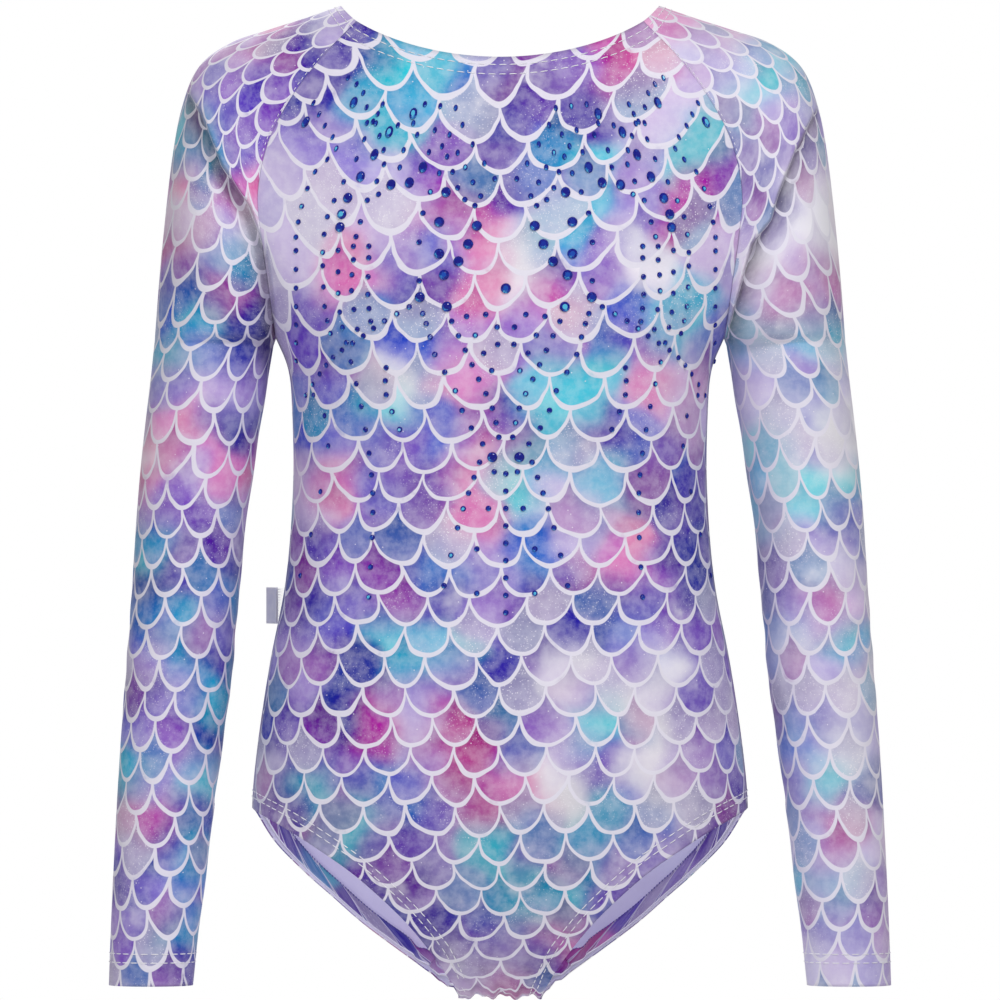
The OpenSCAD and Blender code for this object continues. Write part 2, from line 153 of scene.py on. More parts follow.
mm = 0.001
body_h = 519
chest_w2 = 117.5
waist_w2 = 108.5
hip_w2 = 130
chest_d = 78
belly_d = 80
seat_d = 92
underarm_h = 174
leg_h = 420
neck_w2 = 84.6
front_drop = 28
back_drop = 44
crotch_w2 = 21
neck_seam_x = 75
seam_gap = 0.6
fabric = 0.9
squareness = 2.4
t_crotch = 0.25
t_neck = 0.5

width_at = [
    (-body_h, hip_w2), (-leg_h, hip_w2), (-390, hip_w2 - 2.5), (-345, hip_w2 - 9.2),
    (-300, waist_w2 + 3.8), (-250, waist_w2), (-210, waist_w2 + 0.6), (-190, waist_w2 + 2.6),
    (-underarm_h, chest_w2), (-160, chest_w2 + 7), (-146, chest_w2 + 14),
    (-120, chest_w2 + 26), (-98, chest_w2 + 32), (-60, chest_w2 + 33),
    (-28, chest_w2 + 28), (0, chest_w2 + 23),
]
front_at = [
    (-body_h, 0), (2 - body_h, 14), (8 - body_h, 28), (19 - body_h, 42), (37 - body_h, 56),
    (-458, belly_d - 12), (-430, belly_d - 4), (-400, belly_d), (-350, belly_d - 2),
    (-300, chest_d - 5), (-250, chest_d - 7), (-200, chest_d - 2), (-160, chest_d),
    (-120, chest_d - 4), (-80, chest_d - 12), (-50, chest_d - 19), (-28, chest_d - 27),
    (-12, chest_d - 39), (0, chest_d - 52),
]
back_at = [
    (-body_h, 0), (2 - body_h, 16), (8 - body_h, 33), (19 - body_h, 50), (37 - body_h, 66),
    (-458, seat_d - 12), (-430, seat_d - 3), (-400, seat_d), (-350, seat_d - 6),
    (-300, seat_d - 18), (-250, seat_d - 24), (-200, seat_d - 18), (-160, seat_d - 14),
    (-120, seat_d - 14), (-80, seat_d - 18), (-50, seat_d - 26), (-28, seat_d - 38),
    (-12, seat_d - 51), (0, seat_d - 64),
]
front_leg = [
    (crotch_w2, -body_h), (30, -503), (42, -486.5), (54.5, -472.5), (75, -454),
    (95, -440), (112, -429.5), (hip_w2, -leg_h),
]
back_leg = [
    (crotch_w2, -body_h), (38, -507.5), (56, -495), (73, -482.5), (89, -468.5),
    (103, -456), (119, -439), (hip_w2, -leg_h),
]


def mix(a, b, k):
    return a + (b - a) * k


def curve(stations, t):
    """The smooth curve through stations, each (t, value, ...), at the places t."""
    p = np.array(stations, float)
    t = np.asarray(t, float)
    count = len(p)
    i = np.clip(np.searchsorted(p[:, 0], t, side="right") - 1, 0, count - 2)
    before = np.maximum(np.arange(count) - 1, 0)
    after = np.minimum(np.arange(count) + 1, count - 1)
    slope = (p[after, 1:] - p[before, 1:]) / (p[after, 0] - p[before, 0])[:, None]
    h = (p[i + 1, 0] - p[i, 0])[..., None]
    k = (t[..., None] - p[i, 0][..., None]) / h
    value = (
        (2 * k**3 - 3 * k**2 + 1) * p[i, 1:]
        + (k**3 - 2 * k**2 + k) * h * slope[i]
        + (3 * k**2 - 2 * k**3) * p[i + 1, 1:]
        + (k**3 - k**2) * h * slope[i + 1]
    )
    return value[..., 0] if p.shape[1] == 2 else value


def along(points, k):
    """The smooth curve through evenly spaced points, k from 0 to 1."""
    points = np.array(points, float).reshape(len(points), -1)
    return curve(np.column_stack([np.linspace(0, 1, len(points)), points]), k)


def half_width(z):
    return curve(width_at, z)


def face_y(side, x, z):
    """Depth of the cloth's face at x and z: side is -1 in front and 1 behind."""
    r = np.minimum(np.abs(x) / half_width(z), 1)
    deep = np.maximum(curve(front_at if side < 0 else back_at, z) - seam_gap, 0)
    return side * (seam_gap + deep * (1 - r**squareness) ** (1 / squareness))


def face(side, x, z):
    return np.stack(np.broadcast_arrays(x, face_y(side, x, z), z), axis=-1)


def neck_edge_z(side, x):
    drop = front_drop if side < 0 else back_drop
    return -drop * np.maximum(1 - (x / neck_w2) ** 2, 0) ** 0.77


def raglan(side, s):
    """The cut edge that meets the sleeve, from the neck (0) to the underarm (1): x, z."""
    lift = 0 if side < 0 else 2
    return along(
        [
            (neck_seam_x, neck_edge_z(side, neck_seam_x)), (94, -29 + lift),
            (110, -51 + lift), (121, -73 + lift), (126, -98), (124.5, -120),
            (121, -146), (chest_w2, -underarm_h),
        ],
        s,
    )


def top_edge(side, t):
    x = neck_seam_x * np.minimum(t, t_neck) / t_neck
    neck = np.stack([x, neck_edge_z(side, x)], axis=-1)
    seam = raglan(side, np.clip((t - t_neck) / (1 - t_neck), 0, 1))
    return np.where((t < t_neck)[..., None], neck, seam)


def bottom_edge(side, t):
    crotch = np.stack([crotch_w2 * t / t_crotch, np.full_like(t, -body_h)], axis=-1)
    leg = along(
        front_leg if side < 0 else back_leg, np.clip((t - t_crotch) / (1 - t_crotch), 0, 1)
    )
    return np.where((t < t_crotch)[..., None], crotch, leg)


def panel_points(side, columns, rows):
    """Points on a body panel: columns from seam to seam, rows from top to bottom."""
    t = np.abs(columns)[:, None]
    v = rows[None, :]
    top = top_edge(side, np.abs(columns))[:, None, :]
    low = bottom_edge(side, np.abs(columns))[:, None, :]
    crowd = mix(1.7, 1, np.clip((t - t_crotch) * 3, 0, 1))
    k = 1 - (1 - v) ** crowd
    z = mix(top[..., 1], low[..., 1], k)
    r = mix(top[..., 0] / half_width(top[..., 1]), low[..., 0] / half_width(low[..., 1]), k)
    return face(side, np.sign(columns)[:, None] * r * half_width(z), z)


# The fold where the cap of a sleeve, and lower down the edge of the body, hang over the
# sleeve below: [out, height] on the wearer's right and left
right_fold = [(172, -30), (156, -57), (145, -84), (130, -106), (121, -132), (118, -154), (117, -180)]
left_fold = [(178, -34), (164, -57), (154, -77), (145, -99), (141, -113), (131, -125), (118, -174)]


def fold_distance(points):
    """Distance from the fold line, above 0 on the body's side of it."""
    best = np.full(points.shape[:-1], 1e9)
    sign = np.ones(points.shape[:-1])
    for way, line in ((-1, right_fold), (1, left_fold)):
        here = points[..., 0] * way > 0
        q = np.stack([points[..., 0] * way, points[..., 2]], axis=-1)
        line = np.array(line, float)
        for a, b in zip(line[:-1], line[1:]):
            d = b - a
            k = np.clip(((q - a) @ d) / (d @ d), 0, 1)
            off = q - (a + k[..., None] * d)
            gap = np.linalg.norm(off, axis=-1)
            side = np.sign(off[..., 0] * d[1] - off[..., 1] * d[0])
            closer = here & (gap < best)
            best = np.where(closer, gap, best)
            sign = np.where(closer, side, sign)
    return best * np.where(sign == 0, 1, sign)


def ease(x, low, high):
    """0 below low, 1 above high, and smooth between them."""
    k = np.clip((x - low) / (high - low), 0, 1)
    return k * k * (3 - 2 * k)


def tucked(points):
    """How much of a fold there is at a point, and where it is 1 under the fold and 0 over it."""
    fade = ease(-points[..., 2], 20, 50) * ease(points[..., 2], -197, -172)
    return fade * ease(np.abs(points[..., 1]), 2, 22), ease(-fold_distance(points), -0.9, 0.9)


def fold_push(points):
    """The same points, pushed in and out by the folds at the armholes."""
    d = fold_distance(points)
    depth, under = tucked(points)
    out = (1 - under) * 3.4 * np.exp(-((d / 13) ** 2)) - under * 7.6 * np.exp(-((d / 20) ** 2))
    moved = points.copy()
    moved[..., 1] += np.sign(points[..., 1]) * out * depth
    return moved


def body_wrinkles(points, side):
    """Gathers at the crotch, and the slight unevenness of worn cloth."""
    x, z = points[..., 0], points[..., 2]
    low = ease(-z, 474, 508) * ease(60 - np.abs(x), 0, 24)
    gather = 1.2 * np.sin(x * 0.55 + 1.8 * np.sin(z * 0.21)) + 0.8 * np.sin(z * 0.7 + x * 0.27)
    hang = ease(-z, 503, 518) * ease(46 - np.abs(x), 0, 20)
    slow = 0.35 * np.sin(x * 0.052 + z * 0.019 + side) * np.sin(z * 0.043 - x * 0.013)
    legs = ease(-z, 380, 440) * 0.5 * np.sin(x * 0.11 * side + z * 0.13)
    moved = points.copy()
    moved[..., 1] += side * (low * gather + slow + (legs if side > 0 else 0.25 * legs))
    moved[..., 2] += hang * (1.1 * np.sin(x * 0.47 + 0.6) + 0.7 * np.sin(x * 1.05 + 2))
    return moved


def cloth(name, points, thick, maps, dyes_and_shade=None, flip=False, inside_first=False):
    """A cloth of one thickness under a grid of face points, in mm, as a closed solid."""
    across = np.gradient(points, axis=0)
    down = np.gradient(points, axis=1)
    normal = np.cross(across, down)
    normal /= np.maximum(np.linalg.norm(normal, axis=-1, keepdims=True), 1e-9)
    if flip:
        normal = -normal
    n, m = points.shape[:2]
    layers = np.concatenate([points.reshape(-1, 3), (points + normal * thick).reshape(-1, 3)])
    at = np.arange(n * m).reshape(n, m)
    a, b, c, d = at[:-1, :-1], at[1:, :-1], at[1:, 1:], at[:-1, 1:]
    front = np.stack([a, b, c, d], axis=-1).reshape(-1, 4)
    behind = n * m + front[:, ::-1]
    rims = []
    for line, way in ((at[:, 0], 1), (at[:, -1], -1), (at[0, :], -1), (at[-1, :], 1)):
        rim = np.stack([line[:-1], n * m + line[:-1], n * m + line[1:], line[1:]], axis=-1)
        rims.append(rim[:, ::way] if way < 0 else rim)
    quads = np.concatenate([front, behind] + rims)
    if flip:
        quads = quads[:, ::-1]
    mesh = bpy.data.meshes.new(name)
    mesh.from_pydata((layers * mm).tolist(), [], quads.tolist())
    mesh.polygons.foreach_set("use_smooth", np.ones(len(quads), bool))
    inner_side = np.zeros(len(quads), np.int32)
    inner_side[len(front) : 2 * len(front)] = 1
    mesh.polygons.foreach_set("material_index", 1 - inner_side if inside_first else inner_side)
    corner = np.empty(len(mesh.loops), np.int32)
    mesh.loops.foreach_get("vertex_index", corner)
    for map_name, values in maps.items():
        layer = mesh.uv_layers.new(name=map_name)
        flat = np.concatenate([values.reshape(-1, 2)] * 2)
        layer.data.foreach_set("uv", flat[corner].astype(np.float32).ravel())
    # The colour attribute holds the print's dye, with painted shade multiplied in on the body panels and
    # sleeves
    if dyes_and_shade is not None:
        colours = mesh.color_attributes.new("dye_and_shade", "FLOAT_COLOR", "POINT")
        rgba = np.concatenate([dyes_and_shade.reshape(-1, 3), np.ones((n * m, 1))], axis=1)
        colours.data.foreach_set("color", np.concatenate([rgba] * 2).astype(np.float32).ravel())
    piece = bpy.data.objects.new(name, mesh)
    bpy.context.collection.objects.link(piece)
    return piece


def girth(side, x, z):
    """Length along the cloth from the centre line out to x, at one height."""
    steps = np.linspace(0, 1, 33)
    r = np.minimum(np.abs(x) / half_width(z), 1)[..., None] * steps
    wide = half_width(z)[..., None]
    deep = np.maximum(curve(front_at if side < 0 else back_at, z) - seam_gap, 0)[..., None]
    y = deep * np.maximum(1 - r**squareness, 0) ** (1 / squareness)
    return np.sign(x) * np.hypot(np.diff(r * wide), np.diff(y)).sum(axis=-1)


def drop_table(side):
    """Heights, and the length down the middle of a panel to each of them."""
    z = -np.concatenate([np.linspace(0, 500, 251), np.linspace(500, body_h, 96)[1:]])
    y = face_y(side, np.zeros_like(z), z)
    return z, np.concatenate([[0], np.cumsum(np.hypot(np.diff(z), np.diff(y)))])


# Height of a row of scales, and width of a scale, at lengths down the cloth
row_height = [(0, 21), (60, 20), (110, 18.5), (180, 17), (300, 16.2), (420, 15.2), (600, 14.5)]
scale_width = [(0, 31), (110, 29), (220, 27), (330, 25), (430, 23.5), (600, 22.5)]


def body_rows(side, points):
    """The print's own map on a body panel: scales across, rows up."""
    x, z = points[..., 0], points[..., 2]
    heights, lengths = drop_table(side)
    length = np.interp(-z, -heights, lengths)
    out = girth(side, x, z)
    fan = out**2 / 480 * (1 - ease(-z, 70, 210))
    table = np.linspace(-40, 700, 741)
    rows = np.cumsum(1 / curve(row_height, np.clip(table, 0, 600)))
    wide = curve(scale_width, np.clip(length, 0, 600))
    return np.stack([out / wide, -np.interp(length + fan, table, rows)], axis=-1), out, length


def linear(r, g, b):
    """A colour from its 0 to 255 values on screen."""
    c = np.array([r, g, b]) / 255
    return np.where(c <= 0.04045, c / 12.92, ((c + 0.055) / 1.055) ** 2.4)


inks = {
    "indigo": linear(52, 46, 156),
    "violet": linear(90, 60, 164),
    "purple": linear(128, 94, 190),
    "lavender": linear(168, 146, 212),
    "lilac": linear(208, 194, 230),
    "periwinkle": linear(126, 128, 208),
    "blue": linear(74, 116, 204),
    "teal": linear(70, 176, 208),
    "cyan": linear(112, 204, 224),
    "magenta": linear(188, 66, 156),
    "pink": linear(228, 140, 192),
    "white": linear(244, 240, 247),
}
# Where each ink was laid on the front and carried on round the back: [out, height] in mm
front_patches = {
    "indigo": [
        (-78, -29), (0, -50), (47, -311), (-104, -311), (26, -332), (52, -321), (-78, -342),
        (-84, -374), (99, -300), (78, -246), (-99, -37)
    ],
    "teal": [
        (-57, -44), (21, -233), (-94, -410), (52, -426), (-78, -426), (47, -442), (16, -468),
        (-65, -60)
    ],
    "cyan": [
        (-37, -37), (99, -76), (47, -91), (31, -123), (94, -159), (47, -201), (21, -206),
        (-63, -206), (10, -248), (52, -248), (-52, -332), (-31, -337), (52, -374), (0, -436),
        (31, -468), (86, -167)
    ],
    "blue": [
        (-13, -42), (24, -91), (-31, -128), (31, -138), (63, -165), (-63, -170), (-42, -175),
        (-104, -222), (-31, -227), (73, -233), (-31, -298), (21, -290), (-52, -405),
        (73, -421), (-10, -468)
    ],
    "violet": [
        (21, -47), (47, -55), (0, -89), (-39, -149), (0, -217), (52, -227), (-42, -253),
        (104, -248), (-104, -290), (-52, -280), (-31, -316), (16, -316), (-10, -353),
        (10, -358), (-120, -374), (115, -421), (-52, -457), (-31, -483), (21, -504),
        (-110, -415)
    ],
    "purple": [
        (31, -34), (-31, -91), (118, -97), (-52, -133), (52, -138), (-104, -170), (-84, -180),
        (0, -175), (73, -175), (-52, -227), (-78, -290), (78, -306), (-57, -311), (104, -332),
        (52, -395), (62, -352), (99, -363), (-104, -384), (10, -384), (-78, -405),
        (-52, -436), (21, -442), (52, -462), (-10, -489)
    ],
    "magenta": [
        (63, -37), (-31, -107), (99, -102), (-26, -379), (-10, -387), (-16, -410), (0, -512),
        (-65, -381)
    ],
    "pink": [
        (78, -29), (-78, -136), (-10, -131), (-10, -154), (-16, -191), (84, -199), (-10, -233),
        (-89, -248), (-16, -269), (63, -295), (10, -410), (31, -486), (31, -154)
    ],
    "lilac": [
        (94, -47), (73, -65), (-52, -97), (-99, -102), (-104, -128), (115, -133), (94, -191),
        (99, -217), (-104, -253), (31, -259), (42, -280), (47, -353), (-47, -374), (31, -384),
        (-120, -405), (99, -410), (-21, -504), (0, -502), (-63, -118)
    ],
    "lavender": [
        (-89, -76), (-73, -97), (73, -97), (-21, -180), (21, -175), (-10, -290), (-10, -311),
        (-104, -347), (-37, -358), (104, -400), (-31, -410), (73, -442), (-31, -457),
        (10, -489)
    ],
    "periwinkle": [
        (-84, -222), (78, -222), (-63, -248), (-84, -316), (73, -332), (-89, -201),
        (115, -180)
    ],
    "white": [
        (10, -141), (73, -138), (73, -363), (78, -400), (31, -405), (84, -342),
        (-60, -193), (31, -345)
    ],
}


def inked(points, patches, spread, shift=(0, 0)):
    """The wet-in-wet colour at each point: every patch of ink runs into its neighbours."""
    spots = [(x + shift[0], z + shift[1], *inks[ink]) for ink, at in patches.items() for x, z in at]
    spots = np.array(spots)
    x = points[..., 0].ravel()
    z = points[..., 2].ravel()
    y = points[..., 1].ravel()
    x = x + 3.2 * np.sin(z * 0.16 + y * 0.05) + 2.2 * np.sin(x * 0.23 - z * 0.11 + 1.3)
    z = z + 3.2 * np.sin(x * 0.14 + 2.1) + 2.2 * np.sin(z * 0.21 + x * 0.13 - 0.4 + y * 0.04)
    colour = np.empty((len(x), 3))
    for first in range(0, len(x), 8192):
        part = slice(first, first + 8192)
        gap = (x[part, None] - spots[:, 0]) ** 2 + (z[part, None] - spots[:, 1]) ** 2
        near = np.exp(-(gap - gap.min(axis=1, keepdims=True)) / (2 * spread**2))
        colour[part] = near @ spots[:, 2:] / near.sum(axis=1, keepdims=True)
    return colour.reshape(points.shape)


def node(tree, kind, **settings):
    made = tree.nodes.new(kind)
    for key, value in settings.items():
        setattr(made, key, value)
    return made


def calc(tree, operation, *values):
    """One step of arithmetic in a material, on sockets or plain numbers."""
    made = node(tree, "ShaderNodeMath", operation=operation)
    for socket, value in zip(made.inputs, values):
        if isinstance(value, (int, float)):
            socket.default_value = value
        else:
            tree.links.new(value, socket)
    return made.outputs[0]


def blend_colours(tree, share, a, b, how="MIX"):
    made = node(tree, "ShaderNodeMix", data_type="RGBA", blend_type=how)
    for socket, value in ((made.inputs[0], share), (made.inputs[6], a), (made.inputs[7], b)):
        if isinstance(value, (int, float)):
            socket.default_value = value
        elif isinstance(value, (tuple, np.ndarray)):
            socket.default_value = (*value[:3], 1)
        else:
            tree.links.new(value, socket)
    return made.outputs[2]


def from_to(tree, value, low, high, a=0.0, b=1.0, smooth=True):
    made = node(tree, "ShaderNodeMapRange")
    made.interpolation_type = "SMOOTHSTEP" if smooth else "LINEAR"
    for socket, number in zip(made.inputs[1:5], (low, high, a, b)):
        if isinstance(number, (int, float)):
            socket.default_value = number
        else:
            tree.links.new(number, socket)
    tree.links.new(value, made.inputs[0])
    return made.outputs[0]


def noise(tree, vector, scale, detail=2.0, rough=0.5, dimensions="3D", w=0.0):
    made = node(tree, "ShaderNodeTexNoise", noise_dimensions=dimensions)
    tree.links.new(vector, made.inputs["Vector"])
    made.inputs["Scale"].default_value = scale
    made.inputs["Detail"].default_value = detail
    made.inputs["Roughness"].default_value = rough
    if dimensions == "4D":
        made.inputs["W"].default_value = w
    return made.outputs


def scale_print(tree, rows_map, cloth_map, shape, seed):
    """The scale print: each ink-filled scale hangs over the row below, with a pale outline.

    rows_map counts scales across and rows up; cloth_map is in metres; shape is the height
    of a row over the width of a scale. Gives the colour and how much of it is outline."""
    rows = node(tree, "ShaderNodeUVMap", uv_map=rows_map).outputs[0]
    place = node(tree, "ShaderNodeUVMap", uv_map=cloth_map).outputs[0]
    split = node(tree, "ShaderNodeSeparateXYZ")
    tree.links.new(rows, split.inputs[0])
    hand = node(tree, "ShaderNodeSeparateColor")
    tree.links.new(noise(tree, place, 19, 1.0, w=seed, dimensions="4D")[1], hand.inputs[0])
    shake = node(tree, "ShaderNodeSeparateColor")
    tree.links.new(noise(tree, place, 75, 1.0, w=seed + 3, dimensions="4D")[1], shake.inputs[0])
    across = calc(tree, "MULTIPLY_ADD", calc(tree, "SUBTRACT", hand.outputs[0], 0.5), 0.75, split.outputs[0])
    across = calc(tree, "MULTIPLY_ADD", calc(tree, "SUBTRACT", shake.outputs[0], 0.5), 0.16, across)
    up = calc(tree, "MULTIPLY_ADD", calc(tree, "SUBTRACT", hand.outputs[1], 0.5), 0.6, split.outputs[1])
    up = calc(tree, "MULTIPLY_ADD", calc(tree, "SUBTRACT", shake.outputs[1], 0.5), 0.16, up)
    row = calc(tree, "FLOOR", up)
    thick = from_to(tree, noise(tree, place, 45, 1.0, w=seed + 7, dimensions="4D")[0], 0.3, 0.7, 0.8, 1.2)

    below = calc(tree, "SUBTRACT", 1.0, calc(tree, "FRACT", up))

    def scallop(number, down):
        """The U-shaped lower edge of a row's scales: column, how far out a point lies from
        the middle of its U, where 1 is on the edge, and the strength of the outline."""
        shifted = calc(tree, "ADD", across, calc(tree, "FRACT", calc(tree, "MULTIPLY", number, 0.5)))
        column = calc(tree, "FLOOR", shifted)
        off = calc(tree, "SUBTRACT", calc(tree, "SUBTRACT", shifted, column), 0.5)
        q = calc(tree, "MULTIPLY", calc(tree, "ABSOLUTE", off), 2.0)
        q2 = calc(tree, "MULTIPLY", q, q)
        down_2 = calc(tree, "MULTIPLY", down, down)
        reach = calc(tree, "SQRT", calc(tree, "ADD", q2, down_2))
        grade = calc(tree, "SQRT", calc(tree, "MULTIPLY_ADD", q2, 4 * shape * shape, down_2))
        off_edge = calc(tree, "ABSOLUTE", calc(tree, "SUBTRACT", reach, 1.0))
        gap = calc(tree, "DIVIDE", calc(tree, "MULTIPLY", off_edge, reach), grade)
        half = calc(tree, "MULTIPLY", from_to(tree, q2, 0.0, 1.0, 0.08, 0.04, False), thick)
        line = from_to(tree, calc(tree, "SUBTRACT", gap, half), 0.012, -0.012)
        return column, reach, line

    column, reach, line_low = scallop(row, below)
    row_up = calc(tree, "ADD", row, 1.0)
    _, _, line_high = scallop(row_up, calc(tree, "ADD", below, 1.0))
    row_down = calc(tree, "SUBTRACT", row, 1.0)
    column_down, _, _ = scallop(row_down, below)
    line = calc(tree, "MAXIMUM", line_low, line_high)
    inside = calc(tree, "LESS_THAN", reach, 1.0)
    own_row = calc(tree, "ADD", row_down, inside)
    own_column = calc(
        tree, "MULTIPLY_ADD", calc(tree, "SUBTRACT", column, column_down), inside, column_down
    )
    tag = node(tree, "ShaderNodeCombineXYZ")
    tree.links.new(own_column, tag.inputs[0])
    tree.links.new(own_row, tag.inputs[1])
    tag.inputs[2].default_value = seed
    chance = node(tree, "ShaderNodeTexWhiteNoise", noise_dimensions="3D")
    tree.links.new(tag.outputs[0], chance.inputs[0])
    pick = node(tree, "ShaderNodeSeparateColor")
    tree.links.new(chance.outputs[1], pick.inputs[0])
    height = calc(tree, "SUBTRACT", up, own_row)

    # Every scale has its own drop of ink, over the colour that runs through the cloth, with the painted
    # shade that is laid into it
    dye_and_shade = node(tree, "ShaderNodeAttribute", attribute_name="dye_and_shade").outputs[0]
    drops = node(tree, "ShaderNodeValToRGB")
    ramp = drops.color_ramp
    order = ("indigo", "periwinkle", "violet", "lilac", "cyan", "purple", "pink", "blue",
             "lavender", "magenta", "teal", "white")
    while len(ramp.elements) < len(order):
        ramp.elements.new(0.5)
    for i, ink in enumerate(order):
        ramp.elements[i].position = i / len(order)
        ramp.elements[i].color = (*inks[ink], 1)
    ramp.interpolation = "CONSTANT"
    tree.links.new(chance.outputs[0], drops.inputs[0])
    share = from_to(tree, pick.outputs[0], 0.35, 1.0, 0.0, 0.42)
    colour = blend_colours(tree, share, dye_and_shade, drops.outputs[0])
    tone = node(tree, "ShaderNodeHueSaturation")
    tree.links.new(from_to(tree, pick.outputs[1], 0.0, 1.0, 0.478, 0.522, False), tone.inputs[0])
    tree.links.new(from_to(tree, pick.outputs[2], 0.0, 1.0, 1.0, 1.28, False), tone.inputs[1])
    tree.links.new(from_to(tree, pick.outputs[0], 0.0, 1.0, 1.08, 0.9, False), tone.inputs[2])
    tree.links.new(colour, tone.inputs[4])
    colour = tone.outputs[0]

    # The wash inside a scale: darker or paler towards its rounded end, and blotted
    wash = noise(tree, place, 60, 4.0, 0.6, w=seed + 11, dimensions="4D")[0]
    towards_end = from_to(tree, height, 1.1, 0.05)
    fade = calc(tree, "MULTIPLY", towards_end, calc(tree, "GREATER_THAN", pick.outputs[1], 0.55))
    fade = calc(tree, "MULTIPLY", fade, from_to(tree, wash, 0.35, 0.65, 0.1, 0.42))
    colour = blend_colours(tree, fade, colour, inks["lilac"])
    towards_top = from_to(tree, height, 0.5, 1.5)
    deep = calc(tree, "MULTIPLY", towards_top, calc(tree, "GREATER_THAN", pick.outputs[2], 0.5))
    colour = blend_colours(tree, calc(tree, "MULTIPLY", deep, 0.3), colour, inks["indigo"], "MULTIPLY")
    blots = noise(tree, place, 140, 5.0, 0.65, w=seed + 15, dimensions="4D")[0]
    blot = from_to(tree, blots, 0.36, 0.66, 0.0, 1.0)
    colour = blend_colours(tree, calc(tree, "MULTIPLY", blot, 0.2), colour, (0.95, 0.93, 1.0), "SCREEN")
    cloud = from_to(tree, noise(tree, place, 26, 4.0, 0.6, w=seed + 19, dimensions="4D")[0], 0.56, 0.74)
    colour = blend_colours(tree, calc(tree, "MULTIPLY", cloud, 0.5), colour, inks["white"])

    # Specks of white, and a few larger sparks
    glitter = calc(tree, "GREATER_THAN", pick.outputs[0], 0.9)
    for size, reach, where, gate in ((760, 0.3, 31, 0.5), (240, 0.11, 37, 0.42)):
        speck = node(tree, "ShaderNodeTexVoronoi", feature="F1", distance="EUCLIDEAN")
        tree.links.new(place, speck.inputs["Vector"])
        speck.inputs["Scale"].default_value = size
        dot = from_to(tree, speck.outputs["Distance"], reach, reach * 0.4)
        drift = noise(tree, place, where, 3.0, w=seed + size, dimensions="4D")[0]
        mask = from_to(tree, drift, gate, gate + 0.12)
        if size > 500:
            mask = calc(tree, "MULTIPLY_ADD", glitter, 0.8, calc(tree, "MULTIPLY", mask, 0.55))
        colour = blend_colours(
            tree, calc(tree, "MULTIPLY", calc(tree, "MULTIPLY", dot, mask), 0.8), colour, inks["white"]
        )
    rubbed = noise(tree, place, 50, 4.0, 0.6, w=seed + 23, dimensions="4D")[0]
    worn = from_to(tree, rubbed, 0.28, 0.42, 0.45, 0.94)
    colour = blend_colours(tree, calc(tree, "MULTIPLY", line, worn), colour, linear(234, 230, 243))
    return colour, line, place


def knit_finish(tree, place, shader, deep=0.00006):
    """The fine ribs of a two-way stretch knit, as bump and an uneven sheen."""
    ribs = node(tree, "ShaderNodeTexWave", wave_type="BANDS", bands_direction="X")
    tree.links.new(place, ribs.inputs["Vector"])
    ribs.inputs["Scale"].default_value = 620
    ribs.inputs["Distortion"].default_value = 1.2
    ribs.inputs["Detail"].default_value = 1.0
    ribs.inputs["Detail Scale"].default_value = 1.5
    courses = node(tree, "ShaderNodeTexWave", wave_type="BANDS", bands_direction="Y")
    tree.links.new(place, courses.inputs["Vector"])
    courses.inputs["Scale"].default_value = 420
    courses.inputs["Distortion"].default_value = 0.8
    knit = calc(tree, "MULTIPLY_ADD", courses.outputs[1], 0.5, ribs.outputs[1])
    fuzz = noise(tree, place, 900, 2.0)[0]
    knit = calc(tree, "MULTIPLY_ADD", fuzz, 0.6, knit)
    bump = node(tree, "ShaderNodeBump")
    bump.inputs["Strength"].default_value = 0.5
    bump.inputs["Distance"].default_value = deep
    tree.links.new(knit, bump.inputs["Height"])
    tree.links.new(bump.outputs[0], shader.inputs["Normal"])
    rough = from_to(tree, noise(tree, place, 130, 3.0)[0], 0.3, 0.7, 0.5, 0.64, False)
    tree.links.new(rough, shader.inputs["Roughness"])
    shader.inputs["Specular IOR Level"].default_value = 0.28
    shader.inputs["Sheen Weight"].default_value = 0.12
    shader.inputs["Sheen Roughness"].default_value = 0.4
    return bump


def printed_knit(name, shape, seed):
    material = bpy.data.materials.new(name)
    material.use_nodes = True
    tree = material.node_tree
    shader = tree.nodes["Principled BSDF"]
    colour, line, place = scale_print(tree, "rows", "cloth", shape, seed)
    tree.links.new(colour, shader.inputs["Base Color"])
    knit_finish(tree, place, shader)
    return material


def knit_back(name, seed):
    """The undyed back of the printed knit, with a breath of the ink showing through, and a faint painted
    glow.
    """
    material = bpy.data.materials.new(name)
    material.use_nodes = True
    tree = material.node_tree
    shader = tree.nodes["Principled BSDF"]
    place = node(tree, "ShaderNodeUVMap", uv_map="cloth").outputs[0]
    dye_and_shade = node(tree, "ShaderNodeAttribute", attribute_name="dye_and_shade").outputs[0]
    clouds = noise(tree, place, 40, 4.0, w=seed, dimensions="4D")[0]
    mottle = from_to(tree, clouds, 0.3, 0.7, 0.03, 0.12, False)
    colour = blend_colours(tree, mottle, linear(226, 222, 244), dye_and_shade)
    tree.links.new(colour, shader.inputs["Base Color"])
    # Painted light: the cloth glows faintly in its own colour, standing in for light coming through the thin
    # cloth
    tree.links.new(colour, shader.inputs["Emission Color"])
    shader.inputs["Emission Strength"].default_value = 0.14
    knit_finish(tree, place, shader)
    return material


body_knit = printed_knit("printed_knit_body", 0.64, 3.0)
body_back = knit_back("knit_back_body", 5.0)

half_columns = np.concatenate([
    np.linspace(0, t_crotch, 19)[:-1],
    np.linspace(t_crotch, t_neck, 25)[:-1],
    np.linspace(t_neck, 1, 56),
])
columns = np.concatenate([-half_columns[:0:-1], half_columns])
panel_rows = np.concatenate([np.linspace(0, 0.06, 17)[:-1], np.linspace(0.06, 1, 226)])


